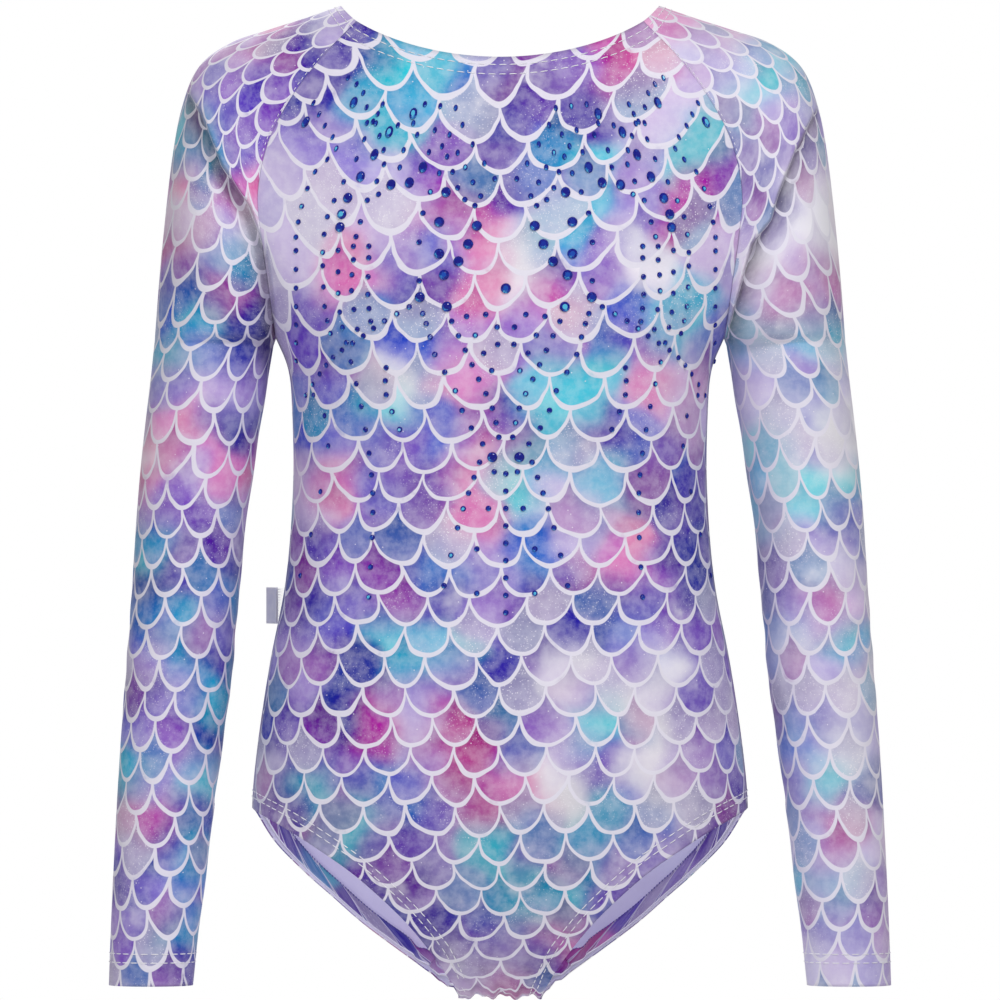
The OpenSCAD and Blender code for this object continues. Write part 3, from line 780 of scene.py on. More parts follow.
def body_panel(name, side, patches, shift, spread):
    flat = panel_points(side, columns, panel_rows)
    rows, out, length = body_rows(side, flat)
    cloth_map = np.stack([out, -length], axis=-1) * mm
    dyes_and_shade = inked(flat, patches, spread, shift)
    # Painted shade: the lower body is darkened towards the crotch, where it curves under, away from the
    # light
    dyes_and_shade *= 1 - 0.26 * ease(-flat[..., 2:3], 320, 480)
    shaped = body_wrinkles(fold_push(flat), side)
    piece = cloth(name, shaped, fabric, {"rows": rows, "cloth": cloth_map}, dyes_and_shade, flip=side > 0)
    piece.data.materials.append(body_knit)
    piece.data.materials.append(body_back)
    return piece, shaped


front_piece, front_cut = body_panel("front_panel_cloth", -1, front_patches, (0, 0), 8.5)
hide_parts("front_panel")
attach(front_piece, "torso")

# ---- Rhinestones ----
# Hot-fix stones on the front panel: a flat back, a cut crown and a table of foiled glass.
# They are set with a heat press before the panels are sewn, each with its glue under it.

stone_shift = 3
large_stone = 5.4
small_stone = 3.0
large_chains = [
    (6, [(60.5, -67.5), (73, -87), (83.5, -105), (86, -117)]),
    (3, [(43, -86), (50, -94), (59.5, -95)]),
    (4, [(31, -99), (34.5, -114.5), (34.5, -131), (32, -142)]),
    (3, [(15, -116.5), (19.5, -126), (24.5, -135)]),
    (2, [(44.5, -153.5), (30.5, -158.5)]),
    (2, [(79, -52), (104, -62)]),
    (2, [(48, -58), (7, -236.4)]),
]
small_chains = [
    (12, [(82, -39), (74.5, -46), (72, -60), (75, -76), (86, -97), (93, -113), (95, -130)]),
    (9, [(69, -62), (64, -74), (63.5, -86), (71, -101), (76.5, -118), (79, -127)]),
    (11, [(100, -52), (94, -64), (88, -76), (99, -88), (106, -106), (109, -122)]),
    (8, [(48, -63), (44.5, -72), (34.5, -87), (40, -101), (44.5, -118), (44.8, -145)]),
    (8, [(42, -53), (35, -71), (31, -79), (27, -90), (23, -101), (16, -106)]),
    (6, [(34, -54), (28, -72), (23, -82), (18, -92), (13, -101)]),
    (5, [(26, -55), (21, -67), (13, -81), (5.7, -92)]),
    (5, [(56, -64), (53, -77), (55, -86), (66, -100), (71, -127)]),
    (3, [(64, -53), (66.5, -58), (67.5, -63)]),
    (7, [(109, -129), (109, -158), (109, -186)]),
    (5, [(95, -137), (94, -158), (91, -172)]),
    (17, [(87, -129), (86.5, -158), (82, -180), (75, -210), (70, -242), (69, -269), (71, -309)]),
    (5, [(79, -134), (80, -150), (77, -170)]),
    (5, [(71, -133), (71.5, -152), (70, -166)]),
    (12, [(50, -158.5), (64, -166.5), (76, -175), (88, -183), (96, -192), (104, -204)]),
    (9, [(43, -162), (40, -171), (36, -185), (27, -200), (21, -216), (12, -229.5)]),
    (9, [(28, -166), (21, -181), (14, -196), (7, -211), (3.6, -226)]),
    (4, [(20.3, -163.5), (13.6, -178), (7.3, -191.5)]),
    (3, [(10.4, -162.5), (4.5, -169), (4.2, -178)]),
    (7, [(13.6, -239), (19.3, -255), (25, -273), (32, -303)]),
    (4, [(6, -244), (9, -263), (15, -284), (15, -307)]),
    (6, [(100, -204), (92, -224), (98, -262), (107, -298)]),
    (5, [(62, -190), (62, -204), (55, -222)]),
]
centre_chain = (9, [(0, -245), (0, -281), (0, -317)])


def chain_spots(chains):
    """The places of mirrored chains of stones, evenly spaced along each."""
    spots = []
    for count, line in chains:
        for x, z in along(line, np.linspace(0, 1, count)):
            spots += [(x + stone_shift, z), (-x + stone_shift, z)]
    return spots


def surface(side, x, z, push=True):
    """Points on the panel as it is worn, and the way out from it."""
    near = []
    for dx, dz in ((0, 0), (0.6, 0), (0, 0.6)):
        p = face(side, np.asarray(x, float) + dx, np.asarray(z, float) + dz)
        near.append(body_wrinkles(fold_push(p), side) if push else p)
    out = np.cross(near[1] - near[0], near[2] - near[0])
    out *= side * np.sign(out[..., 1:2])
    return near[0], out / np.linalg.norm(out, axis=-1, keepdims=True)


stone_profile = [(0.0, 1.0), (0.1, 0.985), (0.24, 0.72), (0.3, 0.5)]


def set_stones(name, spots, width, facets, node_name):
    """One piece of many stones. Each is a rim, two rings of crown facets and a table."""
    chance = np.random.default_rng(len(spots))
    spots = np.array(spots, float)
    foot, out = surface(-1, spots[:, 0], spots[:, 1])
    points, faces, facet_shade_and_glint = [], [], []
    for spot, base, up in zip(spots, foot, out):
        across = np.cross([0, 0, 1], up)
        across /= np.linalg.norm(across)
        rise = np.cross(up, across)
        fan = math.radians(0.26 * (spot[0] - stone_shift))
        long_way = rise * math.cos(fan) - across * math.sin(fan)
        short_way = across * math.cos(fan) + rise * math.sin(fan)
        slim = 1 - 0.26 * float(ease(spot[1], -112, -70)) - 0.08 * float(ease(abs(spot[0]), 60, 95))
        tall = 1 + 0.2 * float(ease(spot[1], -112, -70))
        turn = chance.uniform(0, math.pi)
        tip = up + chance.normal(0, 0.03, 3)
        start = len(points)
        for ring, (lift, share) in enumerate(stone_profile):
            for k in range(facets):
                angle = turn + 2 * math.pi * (k + 0.5 * (ring % 2)) / facets
                r = width / 2 * share
                p = base + short_way * r * slim * math.cos(angle)
                p = p + long_way * r * tall * math.sin(angle)
                points.append(p + (up if ring < 2 else tip) * (lift * width + 0.12))
        # Painted light: facets turned one way get a painted glint, the rim painted shade, and the table a
        # random tone
        glint = chance.uniform(-0.5, 0.9)
        for ring in range(len(stone_profile) - 1):
            lower, upper = start + ring * facets, start + (ring + 1) * facets
            for k in range(facets):
                n = (k + 1) % facets
                if ring % 2 == 0:
                    three = [(lower + k, lower + n, upper + k), (upper + k, lower + n, upper + n)]
                else:
                    three = [(lower + k, lower + n, upper + n), (lower + k, upper + n, upper + k)]
                for face_at in three:
                    faces.append(face_at)
                    angle = turn + 2 * math.pi * k / facets
                    toward = math.cos(angle - (3.9 + glint))
                    light = 0.1 + 0.34 * max(toward, -0.2) ** 3 + abs(chance.normal(0, 0.1))
                    facet_shade_and_glint.append(light if ring else 0.06 + 0.1 * toward)
        faces.append(tuple(range(start + 3 * facets, start + 4 * facets)))
        facet_shade_and_glint.append(chance.choice([0.16, 0.26, 0.36, 0.62], p=[0.35, 0.35, 0.2, 0.1]))
    mesh = bpy.data.meshes.new(name)
    mesh.from_pydata((np.array(points) * mm).tolist(), [], faces)
    # The cut attribute holds this painted facet shade and glint
    cut = mesh.attributes.new("cut", "FLOAT", "FACE")
    cut.data.foreach_set("value", np.clip(facet_shade_and_glint, 0, 1).astype(np.float32))
    mesh.materials.append(sapphire)
    piece = bpy.data.objects.new(name, mesh)
    bpy.context.collection.objects.link(piece)
    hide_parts(node_name)
    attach(piece, "torso")
    return piece


sapphire = bpy.data.materials.new("foiled_sapphire_glass")
sapphire.use_nodes = True
tree = sapphire.node_tree
shader = tree.nodes["Principled BSDF"]
# The cut value is painted facet light; the ramp turns it into colour, from navy painted shade to a
# near-white painted glint
cut = node(tree, "ShaderNodeAttribute", attribute_name="cut").outputs[2]
facet_light_ramp = node(tree, "ShaderNodeValToRGB")
stops = [
    (0.0, linear(14, 8, 92)), (0.22, linear(20, 26, 146)), (0.42, linear(26, 88, 186)),
    (0.62, linear(84, 186, 224)), (0.85, linear(224, 247, 252)),
]
while len(facet_light_ramp.color_ramp.elements) < len(stops):
    facet_light_ramp.color_ramp.elements.new(0.5)
for element, (position, colour) in zip(facet_light_ramp.color_ramp.elements, stops):
    element.position = position
    element.color = (*colour, 1)
tree.links.new(cut, facet_light_ramp.inputs[0])
tree.links.new(facet_light_ramp.outputs[0], shader.inputs["Base Color"])
foil = noise(tree, node(tree, "ShaderNodeTexCoord").outputs["Object"], 1400, 2.0)[0]
tree.links.new(from_to(tree, foil, 0.3, 0.7, 0.07, 0.2, False), shader.inputs["Roughness"])
shader.inputs["IOR"].default_value = 1.5
shader.inputs["Specular IOR Level"].default_value = 0.3
shader.inputs["Coat Weight"].default_value = 0.12
shader.inputs["Coat Roughness"].default_value = 0.05

large_spots = [(stone_shift, -149)] + chain_spots(large_chains)
centre_spots = along(centre_chain[1], np.linspace(0, 1, centre_chain[0])) + (stone_shift, 0)
small_spots = chain_spots(small_chains) + [tuple(p) for p in centre_spots]
large_piece = set_stones("large_stones_set", large_spots, large_stone, 12, "large_rhinestones")
small_piece = set_stones("small_stones_set", small_spots, small_stone, 10, "small_rhinestones")

# ---- Back panel ----
# The back of the body, cut from the same printed knit and fuller at the seat.
# Its pale back is what shows through the leg openings.

back_piece, back_cut = body_panel(
    "back_panel_cloth", 1, {ink: [(-x, z) for x, z in at] for ink, at in front_patches.items()},
    (0, 6), 8.5,
)
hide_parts("back_panel")
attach(back_piece, "torso")

# ---- Sleeves ----
# Two raglan sleeves, each one cut of the printed knit from the neck over the shoulder to
# the cuff, closed by one seam under the arm. The cap hangs over the sleeve in a soft fold.

left_sleeve_patches = {
    "pink": [
        (99, -5), (115, -10), (170, -314)
    ],
    "lilac": [
        (104, -21), (125, -21), (115, -47), (157, -97), (131, -118), (136, -154), (178, -191),
        (133, -206), (152, -212), (172, -290), (183, -311), (188, -358), (193, -442),
        (172, -499)
    ],
    "cyan": [
        (141, -29), (136, -42), (152, -39), (131, -170), (152, -175), (170, -178), (138, -227),
        (141, -243), (157, -259), (141, -264), (125, -55), (172, -400), (180, -251)
    ],
    "lavender": [
        (115, -34), (146, -57), (157, -50), (125, -107), (157, -138), (136, -188), (157, -227),
        (157, -280), (167, -321), (167, -347), (191, -384), (162, -442), (193, -502)
    ],
    "violet": [
        (125, -71), (138, -76), (136, -91), (144, -104), (165, -159), (180, -269), (152, -306),
        (152, -363), (130, -81)
    ],
    "purple": [
        (152, -76), (157, -193), (170, -374), (157, -415), (196, -468), (167, -478),
        (188, -483)
    ],
    "magenta": [
        (172, -138), (146, -149), (154, -154), (178, -426)
    ],
    "white": [
        (165, -102), (157, -118), (172, -123), (141, -133), (175, -217), (178, -233),
        (168, -113), (183, -387), (157, -340)
    ],
    "blue": [
        (146, -332), (154, -384), (188, -269)
    ],
    "teal": [
        (183, -332), (162, -462), (183, -462)
    ],
    "indigo": [
        (141, -290), (191, -410)
    ],
}
right_sleeve_patches = {
    "pink": [
        (-120, -18), (-125, -91), (-133, -99), (-162, -99), (-178, -222), (-162, -222),
        (-183, -243), (-144, -243)
    ],
    "lilac": [
        (-136, -24), (-131, -118), (-154, -199), (-167, -115), (-89, -8)
    ],
    "lavender": [
        (-146, -37), (-157, -50), (-144, -112), (-175, -199), (-138, -201), (-165, -246),
        (-144, -264), (-152, -324), (-183, -340), (-170, -361), (-178, -405), (-193, -442),
        (-180, -462), (-199, -481)
    ],
    "purple": [
        (-131, -44), (-112, -50), (-141, -63), (-138, -76), (-128, -76), (-165, -264),
        (-172, -384), (-199, -502)
    ],
    "indigo": [
        (-110, -29), (-99, -18), (-162, -149), (-136, -165), (-133, -180), (-144, -219),
        (-162, -282), (-183, -300), (-154, -384), (-178, -442), (-196, -462), (-170, -502)
    ],
    "violet": [
        (-123, -39), (-128, -138), (-144, -285), (-162, -303), (-152, -342), (-188, -358),
        (-162, -426), (-183, -483), (-185, -502)
    ],
    "cyan": [
        (-159, -65), (-154, -165), (-159, -405)
    ],
    "teal": [
        (-154, -81), (-136, -131), (-170, -180), (-185, -282), (-167, -321), (-165, -340),
        (-154, -363), (-193, -405), (-162, -444), (-167, -483)
    ],
    "magenta": [
        (-175, -123), (-141, -146), (-193, -423), (-178, -421), (-175, -131)
    ],
    "white": [
        (-159, -123), (-170, -110), (-183, -233)
    ],
    "blue": [
        (-149, -131), (-170, -144), (-175, -159), (-146, -306), (-185, -321)
    ],
    "periwinkle": [
        (-152, -183), (-183, -264), (-188, -379), (-165, -465)
    ],
}

sleeve_w = 62.6
cuff_w = 44
sleeve_d = 76
cuff_d = 47
sleeve_lean = 33
cuff_h = 513
arm_top = -underarm_h - 3
cap_top = [
    (neck_w2, 0), (103, -6), (122, -11.5), (141.6, -18.3), (158, -31), (167, -52),
    (172.5, -80), (177, -123), (chest_w2 + 1.2 + sleeve_w, -underarm_h - 2),
]
cap_middle = [
    (80, -35), (108, -48), (130, -78), (145, -110),
    (chest_w2 + 1.2 + sleeve_w / 2, -underarm_h - 2),
]
cap_reach = [55, 78, 97, 128, 180]
cap_depth = [40, 47, 47, 47, sleeve_d / 2]
arm_widths = [sleeve_w, sleeve_w - 4.4, sleeve_w - 7, sleeve_w - 12, cuff_w]
arm_depths = [sleeve_d, sleeve_d - 9, sleeve_d - 15, sleeve_d - 21, cuff_d]
arm_middles = [0, 11, 18, 26.5, sleeve_lean]


def cap_ring(s, k):
    """A ring over the shoulder: s from the neck to the underarm, k from front to back."""
    middle = along(cap_middle, s)
    reach = along(cap_top, s) - middle
    turn = np.radians(k * along([(a,) for a in cap_reach], s))
    deep = along([(a,) for a in cap_depth], s)
    return np.stack(
        [
            middle[..., 0] + reach[..., 0] * np.cos(turn),
            deep * np.sin(turn),
            middle[..., 1] + reach[..., 1] * np.cos(turn),
        ],
        axis=-1,
    )


def cap_points(s, k):
    """Points on the cap, drawn in at both edges to meet the body panels."""
    s, k = np.broadcast_arrays(s, k)
    ends = []
    for side in (-1, 1):
        seam = raglan(side, s)
        ends.append(face(side, seam[..., 0], seam[..., 1]) - cap_ring(s, np.full_like(s, side)))
    return (
        cap_ring(s, k)
        + ((1 - k) / 2)[..., None] ** 4 * ends[0]
        + ((1 + k) / 2)[..., None] ** 4 * ends[1]
    )


def arm_points(k, turn):
    """Points on the sleeve below the cap: k from the underarm to the cuff, turn in degrees."""
    k, turn = np.broadcast_arrays(k, np.radians(turn))
    wide = along([(a,) for a in arm_widths], k) / 2
    deep = along([(a,) for a in arm_depths], k) / 2
    centre = chest_w2 + 1.2 + sleeve_w / 2 + along([(a,) for a in arm_middles], k)
    return np.stack(
        [centre + wide * np.cos(turn), deep * np.sin(turn), mix(arm_top, -cuff_h, k)], axis=-1
    )


def sleeve_folds(points):
    """Slack in a worn sleeve: shallow slanting folds under the arm and at the elbow."""
    x, y, z = np.abs(points[..., 0]), points[..., 1], points[..., 2]
    below = ease(-z, 180, 215)
    inner = np.clip((150 - (x - 0.098 * (-z - 177))) / 32, 0, 1)
    slant = 0.55 * np.sin(z * 0.145 + x * 0.1 + 0.8 * np.sin(z * 0.031)) * inner
    elbow = 0.5 * np.exp(-(((z + 335) / 34) ** 2)) * np.sin(z * 0.26 - x * 0.12)
    slow = 0.45 * np.sin(z * 0.047 + y * 0.06)
    moved = points.copy()
    push = below * (slant + elbow + slow)
    moved[..., 1] += np.sign(y) * push * np.clip(np.abs(y) / 14, 0, 1)
    moved[..., 0] += np.sign(points[..., 0]) * 0.5 * push * np.sign(x - 150)
    return moved


sleeve_knit = printed_knit("printed_knit_sleeve", 0.8, 41.0)
sleeve_back = knit_back("knit_back_sleeve", 43.0)
cap_rows = np.linspace(0, 1, 150)
arm_rows = np.concatenate([np.linspace(0.002, 0.1, 30)[:-1], np.linspace(0.1, 1, 170)])
sleeve_turns = np.linspace(-1, 1, 189)


def sleeve_grid(edge=1.0):
    """The whole sleeve on the wearer's left, columns round it and rows down it."""
    cap = cap_points(cap_rows[None, :], sleeve_turns[:, None] * edge)
    arm = arm_points(arm_rows[None, :], sleeve_turns[:, None] * 180)
    return np.concatenate([cap, arm], axis=1)


def sleeve_rows(grid):
    """The print's map on a sleeve. It runs down the sleeve, and is turned over the cap."""
    steps = np.linalg.norm(np.diff(grid, axis=1), axis=-1).mean(axis=0)
    down = np.concatenate([[0], np.cumsum(steps)])[None, :] * np.ones((grid.shape[0], 1))
    gaps = np.linalg.norm(np.diff(grid, axis=0), axis=-1)
    round_it = np.concatenate([np.zeros((1, grid.shape[1])), np.cumsum(gaps, axis=0)])
    middle = grid.shape[0] // 2
    round_it = round_it - round_it[middle : middle + 1]
    lean = np.radians(20) * (1 - ease(down, 70, 250))
    across = round_it * np.cos(lean) + down * np.sin(lean)
    wide = mix(15.5, 19.6, ease(down, 60, 190))
    rows = np.cumsum(np.diff(down, axis=1, prepend=0) / mix(14.0, 16.2, ease(down, 60, 190)), axis=1)
    rows = rows * np.cos(lean) - round_it * np.sin(lean) / 14.0
    return np.stack([across / wide, -rows], axis=-1), np.stack([round_it, -down], axis=-1)


def make_sleeve(side_name, way, patches):
    grid = sleeve_grid()
    rows, cloth_map = sleeve_rows(grid)
    grid = grid * (way, 1, 1)
    rows = rows + (3.3 if way > 0 else 0.0, 0.4 * way)
    depth, under = tucked(grid)
    rows = rows + under[..., None] * (0.37, -0.71)
    dyes_and_shade = inked(grid, patches, 8.0)
    # The wearer's left sleeve is cut from a paler stretch of the print
    if way > 0:
        dyes_and_shade = mix(dyes_and_shade, linear(236, 238, 246), 0.22)
    # Painted shadow: the colour just under the armhole fold is darkened, as if shaded by the cap that hangs
    # over it
    shade = 1 - 0.62 * depth * under * np.exp(-((fold_distance(grid) / 8) ** 2))
    dyes_and_shade = dyes_and_shade * shade[..., None]
    shaped = sleeve_folds(fold_push(grid))
    piece = cloth(
        side_name + "_sleeve_cloth", shaped, fabric,
        {"rows": rows, "cloth": cloth_map * mm + (0.5 * way, 0)}, dyes_and_shade, flip=way < 0,
    )
    piece.data.materials.append(sleeve_knit)
    piece.data.materials.append(sleeve_back)
    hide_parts(side_name + "_sleeve_cap", side_name + "_sleeve")
    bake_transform(piece)
    return piece, shaped


left_sleeve_piece, left_sleeve_cut = make_sleeve("left", 1, left_sleeve_patches)
right_sleeve_piece, right_sleeve_cut = make_sleeve("right", -1, right_sleeve_patches)

# ---- Crotch lining ----
# A strip of plain pale knit inside the crotch. It lies over the crotch seam, and is caught
# by overlocking at both of its ends.

layer_gap = 0.7
elastic_t = 0.7
elastic_lift = fabric + layer_gap
hem_lift = elastic_lift + elastic_t + layer_gap + 0.2
plain_knit = knit_back("plain_lining_knit", 61.0)


def sunk(points, depth, turned=False):
    """The same grid of points, moved in under the face of the cloth."""
    normal = np.cross(np.gradient(points, axis=0), np.gradient(points, axis=1))
    normal /= np.maximum(np.linalg.norm(normal, axis=-1, keepdims=True), 1e-9)
    return points + (-depth if turned else depth) * normal


def flat_map(points):
    """Lengths across and down a grid of points, in metres."""
    across = np.linalg.norm(np.diff(points, axis=0), axis=-1)
    down = np.linalg.norm(np.diff(points, axis=1), axis=-1)
    u = np.concatenate([np.zeros((1, points.shape[1])), np.cumsum(across, axis=0)])
    v = np.concatenate([np.zeros((points.shape[0], 1)), np.cumsum(down, axis=1)], axis=1)
    return np.stack([u, -v], axis=-1) * mm


steps, spans = np.meshgrid(np.linspace(-1, 1, 81), np.linspace(-1, 1, 29))
heights = 60 * np.abs(steps) ** 1.7 - body_h
lining_x = spans * (9 + 6.5 * np.abs(steps) ** 1.4)
deep = np.where(steps < 0, face_y(-1, lining_x, heights), face_y(1, lining_x, heights))
lining_flat = np.stack([lining_x, deep * (steps != 0), heights], axis=-1)
lining_flat = sunk(body_wrinkles(lining_flat, -1), hem_lift + 0.4)
lining_dye = np.ones(lining_flat.shape) * linear(228, 224, 244)
lining = cloth("crotch_lining_cloth", lining_flat, fabric, {"cloth": flat_map(lining_flat)}, lining_dye)
lining.data.materials.append(plain_knit)
lining.data.materials.append(plain_knit)
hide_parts("crotch_lining")
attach(lining, "torso")

# ---- Seams ----
# The overlocked joins: a narrow allowance of cloth inside each, wrapped in looping thread.
# On the raglan seams a row of small stitches shows on the face too.

thread_lay = 0.42


def spun_thread(name, dark, light):
    """Polyester thread of two twisted plies."""
    material = bpy.data.materials.new(name)
    material.use_nodes = True
    tree = material.node_tree
    shader = tree.nodes["Principled BSDF"]
    place = node(tree, "ShaderNodeTexCoord").outputs["Object"]
    twist = node(tree, "ShaderNodeTexWave", wave_type="BANDS", bands_direction="DIAGONAL")
    tree.links.new(place, twist.inputs["Vector"])
    twist.inputs["Scale"].default_value = 1500
    shade = from_to(tree, noise(tree, place, 400, 2.0)[0], 0.3, 0.7, 0.0, 1.0, False)
    tree.links.new(blend_colours(tree, shade, dark, light), shader.inputs["Base Color"])
    bump = node(tree, "ShaderNodeBump")
    bump.inputs["Strength"].default_value = 0.6
    bump.inputs["Distance"].default_value = 0.00008
    tree.links.new(twist.outputs[1], bump.inputs["Height"])
    tree.links.new(bump.outputs[0], shader.inputs["Normal"])
    tree.links.new(from_to(tree, shade, 0, 1, 0.42, 0.6, False), shader.inputs["Roughness"])
    return material


white_thread = spun_thread("white_thread", linear(232, 230, 240), linear(252, 251, 255))
violet_thread = spun_thread("violet_thread", linear(58, 60, 150), linear(122, 112, 196))


def threads(name, runs, width, height, material):
    """Short threads: each run is two or more points and the way out from the cloth."""
    points, faces = [], []
    for line, out in runs:
        line = np.array(line, float)
        ahead = np.gradient(line, axis=0)
        ahead /= np.maximum(np.linalg.norm(ahead, axis=-1, keepdims=True), 1e-9)
        out = np.broadcast_to(np.array(out, float), line.shape)
        across = np.cross(ahead, out)
        across /= np.maximum(np.linalg.norm(across, axis=-1, keepdims=True), 1e-9)
        start = len(points)
        for i in range(len(line)):
            tip = 0.45 if i in (0, len(line) - 1) else 1.0
            for angle in (0, 60, 120, 180, 240, 300):
                c, s = math.cos(math.radians(angle)), math.sin(math.radians(angle))
                points.append(
                    line[i] + across[i] * width / 2 * c * tip + out[i] * height / 2 * s * tip
                )
        for i in range(len(line) - 1):
            for k in range(6):
                a, b = start + 6 * i + k, start + 6 * i + (k + 1) % 6
                faces.append((a, b, b + 6, a + 6))
        faces.append(tuple(range(start + 5, start - 1, -1)))
        faces.append(tuple(range(start + 6 * (len(line) - 1), start + 6 * len(line))))
    mesh = bpy.data.meshes.new(name)
    mesh.from_pydata((np.array(points) * mm).tolist(), [], faces)
    mesh.polygons.foreach_set("use_smooth", [True] * len(faces))
    mesh.materials.append(material)
    piece = bpy.data.objects.new(name, mesh)
    bpy.context.collection.objects.link(piece)
    return piece


def join(piece, *others):
    """Sew the others on to a piece, so that they are one object."""
    chosen = [piece, *others]
    with bpy.context.temp_override(
        active_object=piece, object=piece, selected_objects=chosen,
        selected_editable_objects=chosen,
    ):
        bpy.ops.object.join()


def lengths_of(line):
    return np.concatenate([[0], np.cumsum(np.linalg.norm(np.diff(line, axis=0), axis=-1))])


def at_length(line, lengths, where):
    return np.stack([np.interp(where, lengths, line[:, i]) for i in range(3)], axis=-1)


def dashes(line, out, stitch, pitch, lift):
    """Straight stitches of one length along a line that lies on the face."""
    lengths = lengths_of(line)
    count = max(int(lengths[-1] / pitch), 1)
    runs = []
    for middle_at in (np.arange(count) + 0.5) * lengths[-1] / count:
        where = middle_at + stitch * np.array([-0.5, -0.3, 0, 0.3, 0.5])
        away = at_length(out, lengths, where)
        away /= np.linalg.norm(away, axis=-1, keepdims=True)
        rise = lift * np.array([0.1, 0.9, 1.1, 0.9, 0.1])
        runs.append((at_length(line, lengths, where) + away * rise[:, None], away))
    return runs


def loops(one, other, inward, pitch, lift, slant=0.4):
    """Overlock loops between two edges of a strip, raised on its inner side."""
    one_at, other_at = lengths_of(one), lengths_of(other)
    count = max(int(one_at[-1] / pitch), 1)
    runs = []
    for i in range(count):
        a = at_length(one, one_at, np.array([(i + 0.5) / count * one_at[-1]]))[0]
        b = at_length(other, other_at, np.array([min(i + 0.5 + slant, count) / count * other_at[-1]]))[0]
        up = at_length(inward, one_at, np.array([(i + 0.5) / count * one_at[-1]]))[0]
        up /= np.linalg.norm(up)
        line = [a - up * 0.1, mix(a, b, 0.12) + up * lift, mix(a, b, 0.88) + up * lift, b - up * 0.1]
        runs.append((line, up))
    return runs


def way_in(points, turned):
    normal = np.cross(np.gradient(points, axis=0), np.gradient(points, axis=1))
    normal /= np.maximum(np.linalg.norm(normal, axis=-1, keepdims=True), 1e-9)
    return -normal if turned else normal


def seam_piece(name, strip, node_name, turned, stitches=()):
    """A seam allowance: its strip of cloth, and the thread wrapped over it, as one piece."""
    tape = cloth(name, strip, 0.7, {"cloth": flat_map(strip)}, flip=turned)
    tape.data.materials.append(seam_cloth)
    tape.data.materials.append(seam_cloth)
    wraps = loops(strip[0], strip[-1], way_in(strip, turned)[0], 2.6, 0.9)
    join(tape, threads(name + "_thread", wraps + list(stitches), thread_lay, 0.4, white_thread))
    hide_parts(node_name)
    return tape


def across_raglan(side, s):
    """Across a raglan seam: a point on the panel, one on the seam and one on the cap."""
    p = raglan(side, s)
    d = raglan(side, s + 0.01) - raglan(side, s - 0.01)
    q = p + 2.5 * np.stack([d[:, 1], -d[:, 0]], axis=-1) / np.linalg.norm(d, axis=-1)[:, None]
    cap = cap_points(s, np.full_like(s, side * (1 - 5 / 160)))
    return np.stack([face(side, q[:, 0], q[:, 1]), face(side, p[:, 0], p[:, 1]), cap])


seam_cloth = knit_back("seam_allowance_knit", 71.0)
seam_steps = np.linspace(0.09, 0.9, 90)
for side_name, way in (("left", 1), ("right", -1)):
    for end_name, side in (("front", -1), ("back", 1)):
        strip = body_wrinkles(fold_push(across_raglan(side, seam_steps) * (way, 1, 1)), side)
        strip[..., 0] *= 1 - 0.045 * ease(-strip[..., 2], 80, 112)
        turned = side * way > 0
        row = mix(strip[1], strip[2], 0.5)[:48]
        stitches = dashes(row, -way_in(strip, turned)[1][:48], 1.8, 3.2, 0.2)
        seam = seam_piece(
            f"{side_name}_{end_name}_raglan_overlock", sunk(strip, elastic_lift + 0.3, turned),
            f"{side_name}_{end_name}_raglan_seam", turned, stitches,
        )
        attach(seam, "torso")
    heights = np.linspace(-underarm_h - 6, 14 - leg_h, 120)
    strip = np.stack([
        np.stack([half_width(heights), np.full_like(heights, y), heights], axis=-1)
        for y in (-2.5, 0, 2.5)
    ])
    strip = sunk(strip, elastic_lift + 0.4) * (way, 1, 1)
    seam = seam_piece(f"{side_name}_side_overlock", strip, f"{side_name}_side_seam", way < 0)
    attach(seam, "torso")
    strip = np.stack([arm_points(np.linspace(0.02, 0.92, 130), turn) for turn in (175, 180, 185)])
    strip = sunk(strip, elastic_lift) * (way, 1, 1)
    seam = seam_piece(f"{side_name}_underarm_overlock", strip, f"{side_name}_underarm_seam", way < 0)
    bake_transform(seam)
low = np.linspace(-8, 8, 33)
edge_z = np.full_like(low, 0.3 - body_h)
strip = np.stack([face(-1, low, edge_z), face(0, low, edge_z - 0.3) * (1, 0, 1), face(1, low, edge_z)])
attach(seam_piece("crotch_overlock", strip + (0, 0, elastic_lift), "crotch_seam", True), "torso")

# ---- Care label ----
# A blank folded strip of white satin. Its two ends are caught in the side seam with a few
# stitches, so it flips to and fro about the seam.

label_z = -314
label_h = 19
label_l = 16
label_x = -float(half_width(np.array(label_z * 1.0))) - 2
label_turn = math.radians(22)
label_thick = 0.24

satin = bpy.data.materials.new("white_label_satin")
satin.use_nodes = True
tree = satin.node_tree
shader = tree.nodes["Principled BSDF"]
place = node(tree, "ShaderNodeUVMap", uv_map="cloth").outputs[0]
weft = node(tree, "ShaderNodeTexWave", wave_type="BANDS", bands_direction="Y")
tree.links.new(place, weft.inputs["Vector"])
weft.inputs["Scale"].default_value = 900
weft.inputs["Distortion"].default_value = 0.6
mottle = from_to(tree, noise(tree, place, 160, 3.0)[0], 0.3, 0.7, 0.0, 1.0, False)
satin_colour = blend_colours(tree, mottle, linear(226, 226, 242), linear(244, 243, 250))
tree.links.new(satin_colour, shader.inputs["Base Color"])
bump = node(tree, "ShaderNodeBump")
bump.inputs["Strength"].default_value = 0.4
bump.inputs["Distance"].default_value = 0.00005
tree.links.new(weft.outputs[1], bump.inputs["Height"])
tree.links.new(bump.outputs[0], shader.inputs["Normal"])
tree.links.new(from_to(tree, mottle, 0, 1, 0.3, 0.42, False), shader.inputs["Roughness"])

